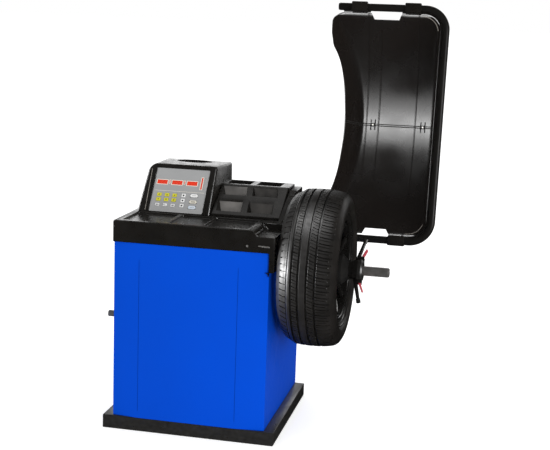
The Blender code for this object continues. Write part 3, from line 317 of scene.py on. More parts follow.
def add_turned(shape, profile, steps):
    """Add a body turned about the spindle's axis; profile points are (x, radius)."""
    rings = []
    for j in range(steps):
        turn = 2 * math.pi * j / steps
        rings.append([shape.verts.new((x, SPIN_Y + radius * math.cos(turn), SPIN_Z + radius * math.sin(turn)))
                      for x, radius in profile])
    for j, ring in enumerate(rings):
        join_rows(shape, ring, rings[(j + 1) % steps])
    bmesh.ops.remove_doubles(shape, verts=shape.verts[:], dist=0.000001)


def add_loft(shape, sections):
    """Add a closed body through rings of points."""
    rings = [[shape.verts.new(point) for point in section] for section in sections]
    for under, over in zip(rings, rings[1:]):
        join_rows(shape, under, over)
    shape.faces.new(rings[0][::-1])
    shape.faces.new(rings[-1])


def add_tube(shape, route, radius, sides):
    """Add a round bar along a route of points."""
    route = [Vector(p) for p in route]
    sections = []
    normal = None
    for i, point in enumerate(route):
        ahead = (route[min(i + 1, len(route) - 1)] - route[max(i - 1, 0)]).normalized()
        if normal is None:
            normal = ahead.orthogonal().normalized()
        normal = (normal - ahead * normal.dot(ahead)).normalized()
        side = ahead.cross(normal)
        sections.append([point + radius * (math.cos(t) * normal + math.sin(t) * side)
                         for t in (2 * math.pi * k / sides for k in range(sides))])
    add_loft(shape, sections)


def add_screw(shape, spot, out, radius, rise):
    """Add a pan-head screw at a spot, facing out."""
    place = Matrix.Translation(spot) @ out.normalized().to_track_quat("Z", "Y").to_matrix().to_4x4()
    steps = 20
    crown = [(radius, 0.0), (radius, rise * 0.45), (radius * 0.8, rise * 0.85), (radius * 0.5, rise)]
    sections = [[place @ Vector((r * math.cos(2 * math.pi * k / steps), r * math.sin(2 * math.pi * k / steps), z))
                 for k in range(steps)] for r, z in crown]
    add_loft(shape, sections)


def bevel_edges(shape, edges, offset, segments):
    """Round some edges of a bmesh."""
    bmesh.ops.bevel(shape, geom=edges, offset=offset, offset_type="OFFSET", segments=segments, profile=0.5,
                    affect="EDGES", clamp_overlap=True)


def apply_modifier(piece, name):
    with bpy.context.temp_override(object=piece, active_object=piece, selected_objects=[piece]):
        bpy.ops.object.modifier_move_to_index(modifier=name, index=0)
        bpy.ops.object.modifier_apply(modifier=name)


def carve(piece, shape, name, operation="DIFFERENCE"):
    """Cut a bmesh out of a piece, apply it, and drop the cutter."""
    bmesh.ops.recalc_face_normals(shape, faces=shape.faces[:])
    tool = new_object(name, new_mesh(name, shape))
    step = piece.modifiers.new(name, "BOOLEAN")
    step.operation = operation
    step.solver = "EXACT"
    step.object = tool
    apply_modifier(piece, name)
    bpy.data.objects.remove(tool)
    piece.data.shade_smooth()
    piece.data.set_sharp_from_angle(angle=math.radians(35.0))


# ---- camera, floor and light
CAMERA_SPOT = (1.2193, -4.4591, 1.6908)
CAMERA_TURN = (12.097, 10.776, 2.003)       # to the left, down and rolled, in degrees
CAMERA_LENS, CAMERA_SENSOR = 74.55, 36.0    # mm


def make_camera():
    lens = bpy.data.cameras.new("camera")
    lens.lens, lens.sensor_width = CAMERA_LENS, CAMERA_SENSOR
    lens.clip_start, lens.clip_end = 0.1, 200.0
    camera = new_object("camera", lens)
    yaw, pitch, roll = (math.radians(a) for a in CAMERA_TURN)
    turn = Matrix.Rotation(yaw, 4, "Z") @ Matrix.Rotation(math.pi / 2 - pitch, 4, "X") @ Matrix.Rotation(roll, 4, "Z")
    camera.matrix_world = Matrix.Translation(CAMERA_SPOT) @ turn
    bpy.context.scene.camera = camera


def make_stage():
    shape = bmesh.new()
    bmesh.ops.create_grid(shape, x_segments=2, y_segments=2, size=120.0)
    mesh = new_mesh("floor", shape)
    pale = bpy.data.materials.new("pale_floor")
    pale.use_nodes = True
    shader = pale.node_tree.nodes["Principled BSDF"]
    shader.inputs["Base Color"].default_value = (0.8, 0.8, 0.8, 1.0)
    shader.inputs["Roughness"].default_value = 0.9
    shader.inputs["Specular IOR Level"].default_value = 0.0
    shader.inputs["Emission Color"].default_value = (1.0, 1.0, 1.0, 1.0)
    shader.inputs["Emission Strength"].default_value = 0.5
    mesh.materials.append(pale)
    floor = new_object("floor", mesh)
    floor.visible_glossy = False


def make_light(name, spot, aim, wide, tall, radiance, kind):
    """A soft box of an even brightness; a "sheen" box shows in reflections only, a "fill" box never does."""
    lamp = bpy.data.lights.new(name, "AREA")
    lamp.shape = "RECTANGLE"
    lamp.size, lamp.size_y = wide, tall
    lamp.energy = radiance * 4.0 * wide * tall
    light = new_object(name, lamp)
    light.location = spot
    light.rotation_mode = "QUATERNION"
    light.rotation_quaternion = (Vector(aim) - Vector(spot)).to_track_quat("-Z", "Y")
    light.visible_camera = False
    light.visible_diffuse = kind != "sheen"
    light.visible_glossy = kind != "fill"
    return light


def make_lights():
    world = bpy.data.worlds.new("studio")
    world.use_nodes = True
    back = world.node_tree.nodes["Background"]
    back.inputs["Color"].default_value = (1.0, 1.0, 1.0, 1.0)
    back.inputs["Strength"].default_value = 1.0
    world.cycles_visibility.glossy = False
    bpy.context.scene.world = world
    make_light("rear_sheet", (0.0, 4.2, 1.9), (0.0, 0.0, 0.9), 7.0, 2.0, 1.4, "sheen")
    make_light("right_box", (4.4, -1.0, 1.7), (0.3, 0.0, 0.8), 1.2, 1.8, 6.5, "fill")
    view = bpy.context.scene.view_settings
    view.view_transform = "Standard"
    view.look = "None"


def make_region_lights():
    """Boxes that reach only some pieces, so that each black surface gets its own sheen."""
    guard = ("guard_lower_sheet", "guard_upper_sheet", "seam_bead", "seam_bolts")
    tube = ("guard_tube_bar", "rolled_edge_1", "rolled_edge_2", "spindle_shaft", "shaft_thread", "shaft_flange")
    wheel = ("tyre_carcass",)
    rim = ("rim_barrel", "rim_hub", "rim_spokes", "quick_nut_skin")
    console = ("console_shell", "weight_rack", "top_cover_skin")
    side = ("cabinet_shell_skin",)
    # name, spot, aim, width, height, brightness, kind, what it reaches
    boxes = (("guard_box", (-0.2, -3.9, 2.6), (0.6, 0.8, 1.3), 3.2, 1.1, 8.5, "sheen", guard),
             ("guard_low_box", (-0.2, -3.9, 2.1), (0.6, 0.8, 1.3), 3.2, 2.2, 2.6, "sheen", guard),
             ("tyre_top_box", (-0.1, -0.8, 3.6), (0.45, -0.2, 0.9), 1.4, 1.3, 7.0, "sheen", wheel),
             ("tyre_left_box", (-3.2, -1.6, 0.6), (0.36, -0.3, 0.7), 1.4, 0.7, 105.0, "sheen", wheel),
             ("rim_box", (3.8, -0.8, 0.9), (0.55, -0.1, 0.7), 1.6, 2.0, 9.0, "sheen", rim),
             ("tube_box", (4.0, -1.6, 1.8), (0.8, 0.5, 1.3), 0.5, 2.4, 7.5, "sheen", tube),
             ("console_right_box", (2.3, -1.4, 3.1), (0.0, 0.0, 0.95), 0.9, 0.9, 40.0, "sheen", console),
             ("console_left_box", (-3.3, 0.2, 2.3), (-0.25, 0.0, 0.95), 1.0, 1.0, 22.0, "sheen", console),
             ("console_rear_box", (-0.8, 4.0, 1.7), (-0.1, 0.1, 1.0), 2.6, 1.0, 0.4, "sheen", console[:1]),
             ("tray_top_box", (-0.4, 1.2, 3.7), (0.15, 0.0, 0.93), 1.8, 2.0, 0.5, "sheen", console[1:]),
             ("side_fill", (2.4, -4.2, 1.5), (0.31, -0.3, 0.6), 1.0, 1.2, 46.0, "fill", side))
    for name, spot, aim, wide, tall, radiance, kind, reached in boxes:
        light = make_light(name, spot, aim, wide, tall, radiance, kind)
        reach = bpy.data.collections.new(name + "_reach")
        for piece in reached:
            reach.objects.link(bpy.data.objects[piece])
        light.light_linking.receiver_collection = reach


make_camera()
make_stage()
make_lights()

# ---- every CAD node takes its slot's finish
SLOT_OF = {part["node"]: part["material_slot"] for part in frame["record"]["subparts"]}
BODY_OF = {node: body for body, nodes in frame["record"]["behaviour"]["bodies"].items() for node in nodes}
for node, cad in frame["nodes"].items():
    cad.data.materials.clear()
    cad.data.materials.append(SLOT_FINISH[SLOT_OF[node]])

# the pieces that keep their CAD shape with rounded edges: the edge's radius, and the bevel's segments
MEDIUM, FINE = (0.001, 2), (0.0008, 2)
ROUNDED = {
    "base_pan": (0.0012, 2), "cabinet_shell": (0.0015, 3), "rear_panel": (0.0004, 1), "top_cover": (0.003, 3),
    "hinge_bracket": MEDIUM, "upper_left_clamp": MEDIUM, "upper_right_clamp": MEDIUM, "lower_right_clamp": MEDIUM,
    "hanger_peg": MEDIUM, "pressure_cup": FINE, "gauge_rod": FINE, "quick_nut": MEDIUM,
    "upper_squeeze_lever": FINE, "lower_squeeze_lever": FINE, "power_inlet": (0.0006, 2),
    "mains_rocker": (0.0005, 2),
}
for node, (radius, segments) in ROUNDED.items():
    skin = cad_shape(node)
    bmesh.ops.dissolve_limit(skin, angle_limit=math.radians(0.5), verts=skin.verts[:], edges=skin.edges[:])
    make(node + "_skin", skin, SLOT_OF[node], BODY_OF[node], (node,), bevel=radius, segments=segments)


# ---- tyre
TYRE_LOW, TYRE_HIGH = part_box("tyre")
TYRE_MIDDLE = (TYRE_LOW.x + TYRE_HIGH.x) / 2
RIM_SEAT, RIM_LIP = 0.2035, 0.2195
# offsets from the tyre's middle plane; plus is the wheel's outer face
MAIN_GROOVES, THIN_GROOVE = (-0.0515, -0.0245, 0.0085, 0.04), -0.0714
MAIN_HALF, MAIN_DEPTH, THIN_HALF, THIN_DEPTH = 0.004, 0.007, 0.0011, 0.004
OUTER_WALL = ((0.0915, RIM_LIP), (0.099, 0.2215), (0.1065, 0.224), (0.1088, 0.227), (0.1078, 0.2305),
              (0.1105, 0.235), (0.115, 0.245), (0.1164, 0.258), (0.115, 0.272), (0.11, 0.2845),
              (0.103, 0.2955), (0.0985, 0.2995))
INNER_WALL = ((-0.099, 0.2905), (-0.106, 0.2825), (-0.115, 0.27), (-0.1164, 0.258), (-0.1145, 0.244),
              (-0.107, 0.23), (-0.099, 0.2225), (-0.0915, RIM_LIP))
CROWN = ((0.0985, 0.2995), (0.093, 0.3036), (0.084, 0.3072), (0.063, 0.3112), (0.04, 0.3139), (0.01, 0.3154),
         (-0.02, 0.3151), (-0.045, 0.3137), (-0.059, 0.3122), (-0.066, 0.31), (-0.07, 0.3068),
         (-0.074, 0.304), (-0.086, 0.2985), (-0.099, 0.2905))
PITCHES = 76
PHASES = (0.0, 0.03, 0.17, 0.2, 0.46, 0.48, 0.56, 0.58)


def crown_radius(x):
    """Height of the tread at an offset, along the smooth crown line."""
    line = smooth_line(CROWN, 6)
    for (x0, r0), (x1, r1) in zip(line, line[1:]):
        if x0 >= x >= x1:
            return r0 + (r1 - r0) * (x0 - x) / max(x0 - x1, 1e-9)
    return line[-1][1]


# the tread's parts from the outer face inwards, as (offset where it ends, how it is cut)
ZONES = ((0.0865, "edge"), (MAIN_GROOVES[3], "outer block"), (MAIN_GROOVES[2], "sipe rib"),
         (MAIN_GROOVES[1], "plain rib"), (MAIN_GROOVES[0], "sipe rib"), (THIN_GROOVE, "plain rib"))


def tread_zone(x):
    return next((zone for limit, zone in ZONES if x > limit), "inner block")


def tyre_profile():
    """The outer line of the tyre from the outer bead to the inner one, as (offset, radius, zone)."""
    line = [(0.0915, RIM_SEAT, "bead")] + [(x, r, "side") for x, r in smooth_line(OUTER_WALL, 4)]
    grooves = [(g, MAIN_HALF, MAIN_DEPTH) for g in MAIN_GROOVES] + [(THIN_GROOVE, THIN_HALF, THIN_DEPTH)]
    tread = []
    steps = 58
    for step in range(1, steps):
        x = CROWN[0][0] + (CROWN[-1][0] - CROWN[0][0]) * step / steps
        if all(abs(x - g) > half + 0.0012 for g, half, _ in grooves):
            tread.append((x, crown_radius(x), tread_zone(x)))
    for g, half, depth in grooves:
        for side in (1, -1):
            edge = tread_zone(g + side * (half + 0.001))
            tread.append((g + side * (half + 0.0009), crown_radius(g + side * half), edge))
            tread.append((g + side * (half + 0.0002), crown_radius(g + side * half) - 0.0006, "groove"))
            tread.append((g + side * (half - 0.0007), crown_radius(g) - depth, "groove"))
    line += sorted(tread, key=lambda point: -point[0])
    line += [(x, r, "side") for x, r in smooth_line(INNER_WALL, 4)]
    return line + [(-0.0915, RIM_SEAT, "bead")]


def make_tyre():
    """The whole tyre with its grooves, block gaps and sipes; the tread slants across the width."""
    inner = [(-0.069, RIM_SEAT), (-0.08, 0.22), (-0.104, 0.265), (-0.07, 0.297), (0.0, 0.301),
             (0.07, 0.297), (0.104, 0.265), (0.08, 0.22), (0.069, RIM_SEAT)]
    profile = tyre_profile() + [(x, r, "inside") for x, r in inner]
    cuts = {"outer block": 0.0045, "edge": 0.0032, "inner block": 0.0055, "sipe rib": 0.0032}
    pitch = 2 * math.pi / PITCHES
    shape = bmesh.new()
    rings = []
    for number in range(PITCHES):
        for index, phase in enumerate(PHASES):
            ring = []
            for x, r, zone in profile:
                slant = 0.0 if zone in ("inside", "bead") else 0.9 * math.tanh(x / 0.045)
                slot, sipe = index in (1, 2), index in (5, 6)
                if zone in cuts and (slot or (sipe and zone in ("outer block", "sipe rib"))):
                    r -= cuts[zone] if slot else cuts[zone] * 0.6
                turn = pitch * (number + phase + slant)
                ring.append(shape.verts.new((TYRE_MIDDLE + x, SPIN_Y + r * math.cos(turn),
                                             SPIN_Z + r * math.sin(turn))))
            rings.append(ring)
    for j, ring in enumerate(rings):
        join_rows(shape, ring, rings[(j + 1) % len(rings)])
    make("tyre_carcass", shape, "tyre_rubber", "spindle", ("tyre",), smooth=32.0)


make_tyre()


# ---- rim
RIM_LOW, RIM_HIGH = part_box("wheel_rim")
SPOKES, HUB_RADIUS = 10, 0.07


def make_rim():
    """The barrel, the hub and the spokes; offsets are from the barrel's back and front edges."""
    back, front = RIM_LOW.x, RIM_HIGH.x
    lip, seat, drop = 0.219, 0.203, 0.186
    shape = bmesh.new()
    outer = smooth_line([(back + 0.0015, lip - 0.0045), (back, lip - 0.0015), (back + 0.0022, lip),
                         (back + 0.0055, lip - 0.003), (back + 0.0085, seat + 0.001)], 4)
    outer += [(back + 0.034, seat - 0.001)]
    outer += smooth_line([(back + 0.036, seat - 0.002), (back + 0.043, 0.193), (back + 0.052, drop)], 4)
    outer += smooth_line([(front - 0.062, drop), (front - 0.053, 0.193), (front - 0.046, seat - 0.002)], 4)
    outer += [(front - 0.044, seat - 0.001)]
    outer += smooth_line([(front - 0.0085, seat + 0.001), (front - 0.0055, lip - 0.003), (front - 0.0022, lip),
                          (front, lip - 0.0015), (front - 0.0008, lip - 0.005)], 4)
    inner = smooth_line([(front - 0.0035, lip - 0.007), (front - 0.005, seat + 0.002),
                         (front - 0.008, seat - 0.009), (front - 0.03, seat - 0.011),
                         (front - 0.048, seat - 0.014), (front - 0.066, drop - 0.006)], 4)
    inner += smooth_line([(back + 0.054, drop - 0.006), (back + 0.034, seat - 0.012),
                          (back + 0.008, seat - 0.009), (back + 0.004, lip - 0.006)], 4)
    add_turned(shape, outer + inner, 144)
    make("rim_barrel", shape, "dark_alloy", "spindle", ("wheel_rim",), smooth=50.0)

    hub = bmesh.new()
    face = [(0.5, 0.0368), (0.5, 0.076), (0.506, 0.079), (0.518, 0.079), (0.5245, 0.078),
            (0.5285, 0.0745), (0.5285, 0.071), (0.5255, 0.068), (0.5215, 0.0665), (0.5215, 0.0368)]
    add_turned(hub, face, 96)
    make("rim_hub", hub, "dark_alloy", "spindle", smooth=40.0, bevel=0.0006)
    spokes = bmesh.new()
    stations = 9
    for number in range(SPOKES):
        turn = math.radians(360.0 / SPOKES * number + 9.0)
        sections = []
        for step in range(stations):
            t = step / (stations - 1)
            radius = HUB_RADIUS + (seat - 0.0095 - HUB_RADIUS) * t
            crest = 0.5225 + 0.0265 * t + 0.003 * math.sin(math.pi * t)
            deep = 0.019 - 0.0035 * t + 0.002 * math.sin(math.pi * t)
            wide = 0.015 - 0.0062 * math.sin(math.pi * min(t * 1.15, 1.0)) + 0.0045 * max(t - 0.8, 0.0) / 0.2
            ring = []
            for side, back_off in ((-1.0, 1.0), (-1.0, 0.45), (-0.62, 0.08), (-0.3, 0.0), (0.3, 0.0),
                                   (0.62, 0.08), (1.0, 0.45), (1.0, 1.0), (0.45, 1.05), (-0.45, 1.05)):
                ring.append(Vector((crest - deep * back_off, wide * side, radius)))
            sections.append([Matrix.Rotation(turn, 4, "X") @ p + Vector((0.0, SPIN_Y, SPIN_Z)) for p in ring])
        add_loft(spokes, sections)
    piece = make("rim_spokes", spokes, "dark_alloy", "spindle", smooth=60.0)
    surface = piece.modifiers.new("surface", "SUBSURF")
    surface.levels = surface.render_levels = 1


make_rim()


# ---- shaft with its thread
def make_shaft():
    """The plain end of the CAD shaft, and a thread that runs on from it to the free end."""
    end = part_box("spindle_shaft")[1].x
    plain_end, start = 0.47, 0.4705
    core, crest, pitch = 0.0178, 0.0199, 0.004
    shape = cad_shape("spindle_shaft")
    bmesh.ops.bisect_plane(shape, geom=shape.verts[:] + shape.edges[:] + shape.faces[:], plane_co=(plain_end, 0, 0),
                           plane_no=(1, 0, 0), clear_outer=True)
    bmesh.ops.holes_fill(shape, edges=[e for e in shape.edges if e.is_boundary])
    make("shaft_flange", shape, "steel", "spindle", ("spindle_shaft",), bevel=0.001)
    steps, turns = 48, int((end - start) / pitch)
    screw = bmesh.new()
    rings = []
    per_turn = ((0.0, core), (0.18, core), (0.34, crest), (0.66, crest), (0.82, core))
    for j in range(steps + 1):
        share = j / steps
        ring = []
        for lap in range(turns):
            for phase, radius in per_turn:
                x = min(start + pitch * (lap + phase + share), end - 0.0005)
                ends = max(0.0, (x - (end - 0.005))) * 0.75
                turn = 2 * math.pi * share
                ring.append(screw.verts.new((x, SPIN_Y + (radius - ends) * math.cos(turn),
                                             SPIN_Z + (radius - ends) * math.sin(turn))))
        rings.append(ring)
    for under, over in zip(rings, rings[1:]):
        join_rows(screw, under, over, closed=False)
    bmesh.ops.remove_doubles(screw, verts=screw.verts[:], dist=0.00001)
    for loop_end in (start, end):
        rim_edges = [e for e in screw.edges if e.is_boundary and abs(e.verts[0].co.x - loop_end) < pitch * 1.6]
        bmesh.ops.holes_fill(screw, edges=rim_edges)
    make("shaft_thread", screw, "steel", "spindle", smooth=30.0)


make_shaft()


# ---- wheel guard
SHELL_BOTTOM, SHELL_TOP, SHELL_SEAM = 0.022, 1.006, 0.528
SHELL_LEFT, SHELL_RIGHT, SHELL_DEPTH, SHELL_FLARE = 0.362, 0.838, 0.2, 0.575
EAR = 0.012
EAR_LEFT = SHELL_LEFT - SHELL_FLARE * EAR
# the wheel's recess in the left side, as (depth, rise) from its middle height
CUT_MIDDLE = 0.5
CUT_LINE = ((0.1145, 0.0), (0.113, 0.05), (0.1095, 0.09), (0.105, 0.125), (0.101, 0.155), (0.0945, 0.19),
            (0.0855, 0.225), (0.0735, 0.26), (0.058, 0.294), (0.036, 0.326), (0.011, 0.355), (-0.001, 0.391),
            (-0.012, 0.425))
ACROSS = Matrix(((0, 0, 1, 0), (1, 0, 0, 0), (0, 1, 0, 0), (0, 0, 0, 1)))
SHELL_THICK, SEAM_GAP = 0.003, 0.0002
RIBS_X, STRAPS_X = (0.514, 0.57, 0.737), (0.545, 0.774)


def guard_depth(z):
    """How far the back of the guard lies behind its front edge at a height: a circle's arc."""
    middle, half = (SHELL_BOTTOM + SHELL_TOP) / 2, (SHELL_TOP - SHELL_BOTTOM) / 2
    radius = (half * half + SHELL_DEPTH ** 2) / (2 * SHELL_DEPTH)
    return max(SHELL_DEPTH - radius + math.sqrt(max(radius ** 2 - (z - middle) ** 2, 0.0)), 0.014)


def curve(start, tip, end, steps):
    """Points on a quadratic curve, without its first one."""
    shares = [step / steps for step in range(1, steps + 1)]
    return [tuple(s * (1 - t) ** 2 + 2 * m * t * (1 - t) + e * t * t for s, m, e in zip(start, tip, end))
            for t in shares]


def guard_section(depth):
    """One row across the guard, from the slanted left wall to the straight right wall, as (x, y)."""
    knee = min(0.034, depth * 0.45)
    corner = SHELL_LEFT + SHELL_FLARE * depth
    wall = (EAR_LEFT, -EAR)
    bend = min(0.078, depth * 0.45)
    heel = (corner - SHELL_FLARE * bend, depth - bend)
    section = [(wall[0] + (heel[0] - wall[0]) * t / 5, wall[1] + (heel[1] - wall[1]) * t / 5) for t in range(6)]
    # the round between the left wall and the back
    x = corner + min(bend * 0.8, 0.028)
    section += curve(heel, (corner, depth), (x, depth), 12)
    right = SHELL_RIGHT - 0.006 - knee
    for rib in RIBS_X:
        section += [(x + (rib - 0.0055 - x) * t / 4, depth) for t in (1, 2, 3, 4)]
        section += [(rib - 0.003, depth), (rib - 0.001, depth - 0.001), (rib + 0.001, depth - 0.001),
                    (rib + 0.003, depth), (rib + 0.0055, depth)]
        x = rib + 0.0055
    section += [(x + (right - x) * t / 4, depth) for t in (1, 2, 3, 4)]
    section += curve(section[-1], (SHELL_RIGHT - 0.0055, depth), (SHELL_RIGHT - 0.005, depth - knee), 7)
    section += [(SHELL_RIGHT - 0.005 + 0.003 * t / 4, (depth - knee) * (1 - t / 4)) for t in range(1, 5)]
    return section


def guard_outline(low, high):
    """Front outline (x, z) of the guard between two heights, with its hand-hold notches."""
    left, right, corner, big = EAR_LEFT, SHELL_RIGHT, 0.05, 0.078
    if low <= SHELL_BOTTOM:
        line = arc((left + corner, low + corner), corner, 180, 270, 16)
        line += [(0.556, low), (0.568, low + 0.026), (0.66, low + 0.026), (0.676, low)]
        line += arc((right - big, low + big), big, 270, 360, 20)
        return line + [(right, high), (left, high)]
    line = arc((right - big, high - big), big, 0, 90, 20)
    line += [(0.661, high), (0.649, high - 0.026), (0.539, high - 0.026), (0.525, high)]
    line += arc((left + corner, high - corner), corner, 90, 180, 16)
    return line + [(left, low), (right, low)]


def guard_half(name, node, low, high):
    """One of the two moulded halves: a curved sheet, cut to its outline and to the wheel's recess."""
    rows = 44
    shape = bmesh.new()
    grid = []
    for row in range(rows + 1):
        z = low + (high - low) * row / rows
        section = guard_section(guard_depth(z))
        grid.append([shape.verts.new((x, y, z)) for x, y in section])
    for under, over in zip(grid, grid[1:]):
        join_rows(shape, under, over, closed=False)
    shell = make(name, shape, "guard_plastic", "machine", recalc=False)
    sheet = shell.modifiers.new("sheet", "SOLIDIFY")
    sheet.thickness = SHELL_THICK
    sheet.offset = -1.0
    apply_modifier(shell, "sheet")
    outline = bmesh.new()
    turn = Matrix.Rotation(math.pi / 2, 4, "X")
    add_prism(outline, guard_outline(low, high), -SHELL_DEPTH - 0.05, 0.05, turn)
    carve(shell, outline, name + "_outline", "INTERSECT")
    half = smooth_line(CUT_LINE, 5)
    recess = [(depth, CUT_MIDDLE - rise) for depth, rise in half[:0:-1]]
    recess += [(depth, CUT_MIDDLE + rise) for depth, rise in half]
    wheel_cut = bmesh.new()
    add_prism(wheel_cut, [(-0.1, recess[0][1]), *recess, (-0.1, recess[-1][1])], 0.2, 0.56, ACROSS)
    carve(shell, wheel_cut, name + "_arc")
    shell.data.transform(GUARD_FRAME)
    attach(shell, "guard")
    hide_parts(node)


def make_seam():
    """Straps with a bolt hold the two halves of the guard together; the seam is a dark joint with a bead."""
    straps, bolts = bmesh.new(), bmesh.new()
    back = guard_depth(SHELL_SEAM)
    for x in STRAPS_X:
        add_box(straps, (x - 0.012, back - 0.0042, SHELL_SEAM - 0.008),
                (x + 0.012, back + 0.0004, SHELL_SEAM + 0.008), GUARD_FRAME)
        for side in (-0.0095, 0.0095):
            add_box(straps, (x + side - 0.002, back - 0.006, SHELL_SEAM - 0.024),
                    (x + side + 0.002, back + 0.0004, SHELL_SEAM + 0.024), GUARD_FRAME)
        spot = on_guard((x, back - 0.004, SHELL_SEAM))
        add_screw(bolts, spot, GUARD_FRAME.to_3x3() @ Vector((0.0, -1.0, 0.0)), 0.007, 0.0045)
    make("seam_straps", straps, "black_paint", "guard", bevel=0.0006)
    make("seam_bolts", bolts, "steel", "guard", paint=ZINC)

    row = [(x, y) for x, y in guard_section(guard_depth(SHELL_SEAM))[:-4] if y > CUT_LINE[0][0]]
    for name, near, far, rise, slot in (("seam_lap", -0.0006, 0.0034, 0.0058, "black_paint"),
                                        ("seam_bead", -0.0016, 0.001, 0.0018, "guard_plastic")):
        lap = bmesh.new()
        add_loft(lap, [[on_guard((x, y + off, SHELL_SEAM + dz))
                        for off, dz in ((near, -rise), (far, -rise), (far, rise), (near, rise))] for x, y in row])
        make(name, lap, slot, "guard")


def make_guard_edges():
    """A rolled edge closes the gap between the sheets and the tube; a thin light line round the right corners is a
    painted highlight.
    """
    roll, inset, above, below = 0.0043, 0.0755, SHELL_TOP + 0.003, SHELL_BOTTOM - 0.003
    corner_x, corner_r = 0.7625, 0.0785
    routes = [[(0.402, above), (0.523, above)],
              [(0.663, above)] + arc((corner_x, SHELL_TOP - inset), corner_r, 90, 0, 20)
              + [(0.841, SHELL_TOP - 0.085 - (SHELL_TOP - SHELL_BOTTOM - 0.17) * t / 8) for t in range(9)]
              + arc((corner_x, SHELL_BOTTOM + inset), corner_r, 0, -90, 20) + [(0.678, below)]]
    for number, route in enumerate(routes):
        rolled = bmesh.new()
        add_tube(rolled, [on_guard((x, 0.0, z)) for x, z in route], roll, 14)
        make(f"rolled_edge_{number + 1}", rolled, "black_paint", "guard")
    # painted highlight: thin light lines round the top and bottom right corners of the guard
    for number, route in enumerate((arc((0.756, SHELL_TOP - 0.082), 0.0705, 92, 8, 16),
                                    arc((0.756, SHELL_BOTTOM + 0.082), 0.0705, -20, -95, 16))):
        line = bmesh.new()
        add_tube(line, [on_guard((x, -0.001, z)) for x, z in route], 0.0012 - 0.0004 * number, 8)
        make(f"corner_highlight_{number + 1}", line, "guard_plastic", "guard", paint=PAINTED_HIGHLIGHT)


def make_guard_tube():
    """The bent tube that carries the guard, its end cap and the bolts of its saddles."""
    tube = bmesh.new()
    bend, top, free, root, side = 0.095, 1.028, 0.3777, 0.085, 0.86
    route = [(root, 0.0), (0.3, 0.0), (0.6, 0.0)]
    route += arc((side - bend, bend), bend, -90, 0, 28)
    route += [(side, bend + (top - 2 * bend) * t / 6) for t in range(1, 6)]
    route += arc((side - bend, top - bend), bend, 0, 90, 28)
    route += [(0.6, top), (free + 0.003, top)]
    add_tube(tube, [on_guard((x, 0.0, z)) for x, z in route], 0.0165, 40)
    make("guard_tube_bar", tube, "black_paint", "guard", ("guard_tube",), smooth=50.0, bevel=0.003, segments=4,
         bevel_angle=60.0)
    cap, cap_radius, cap_length = bmesh.new(), 0.015, 0.004
    place = (Matrix.Translation(on_guard((free, 0.0, top))) @ Matrix.Rotation(math.pi / 2, 4, "Y")
             @ Matrix.Translation((0.0, 0.0, cap_length / 2)))
    bmesh.ops.create_cone(cap, cap_ends=True, segments=32, radius1=cap_radius, radius2=cap_radius, depth=cap_length,
                          matrix=place)
    make("tube_end_cap", cap, "black_plastic", "guard", bevel=0.0012)
    saddle_bolts = bmesh.new()
    for x, z in ((0.449, top), (0.497, top), (0.687, top), (0.735, top), (0.687, 0.0), (0.735, 0.0)):
        spot = on_guard((x, 0.0219, z))
        add_screw(saddle_bolts, spot, GUARD_FRAME.to_3x3() @ Vector((0.0, 1.0, 0.0)), 0.005, 0.0035)
    make("saddle_bolts", saddle_bolts, "steel", "guard", paint=ZINC)


guard_half("guard_lower_sheet", "guard_lower_shell", SHELL_BOTTOM, SHELL_SEAM - SEAM_GAP)
guard_half("guard_upper_sheet", "guard_upper_shell", SHELL_SEAM + SEAM_GAP, SHELL_TOP)
make_seam()
make_guard_edges()
make_guard_tube()


# ---- console
def make_console_housing():
    """The sloped housing with its rounded corners, panel seat and hand recess."""
    low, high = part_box("console_housing")
    foot, head = low.z, high.z
    base_ring = ((low.x, -0.095), (0.011, -0.095), (high.x, high.y), (low.x, high.y))
    head_ring = ((-0.284, 0.035), (0.005, 0.035), (high.x, 0.222), (-0.284, 0.222))
    shape = bmesh.new()
    under = [shape.verts.new((x, y, foot)) for x, y in base_ring]
    over = [shape.verts.new((x, y, head)) for x, y in head_ring]
    shape.faces.new(under[::-1])
    shape.faces.new(over)
    join_rows(shape, under, over)
    shoulder = [e for e in shape.edges if all(v.co.z > head - 0.001 and v.co.x < -0.2 for v in e.verts)]
    bevel_edges(shape, shoulder, 0.032, 10)
    bmesh.ops.recalc_face_normals(shape, faces=shape.faces[:])
    sharp = [e for e in shape.edges if e.calc_face_angle(0.0) > math.radians(40.0)
             and max(v.co.z for v in e.verts) > foot + 0.001]
    bevel_edges(shape, sharp, 0.009, 4)
    housing = make("console_shell", shape, "black_plastic", "machine", ("console_housing",), smooth=30.0)
    seat = bmesh.new()
    wide, tall, play = 0.224, 0.2, 0.0006
    add_prism(seat, rect(0.0, 0.0, wide + play, tall + play, 0.004), -0.012, 0.03, face_frame("console_panel"))
    carve(housing, seat, "panel_seat")
    recess = bmesh.new()
    grip = [(-0.131 + 0.076 * math.cos(t), 0.168 + 0.04 * math.sin(t))
            for t in (2 * math.pi * k / 40 for k in range(40))]
    add_prism(recess, grip, head - 0.012, head + 0.01)
    carve(housing, recess, "hand_recess")
    round_edges(housing, 0.0012, 2, 50.0)


def frame_of(wide, tall, band):
    """The four bars of a rectangular frame."""
    return [rect(0, (tall - band) / 2, wide, band), rect(0, -(tall - band) / 2, wide, band),
            rect((wide - band) / 2, 0, band, tall - 2 * band), rect(-(wide - band) / 2, 0, band, tall - 2 * band)]


# the lit segments of one digit, as (u, v, width, height) from its middle
DIGIT = ((0, 0.0062, 0.0062, 0.0014), (0, 0, 0.0062, 0.0014), (0, -0.0062, 0.0062, 0.0014),
         (0.0042, 0.0031, 0.0014, 0.0046), (0.0042, -0.0031, 0.0014, 0.0046),
         (-0.0042, 0.0031, 0.0014, 0.0046), (-0.0042, -0.0031, 0.0014, 0.0046))


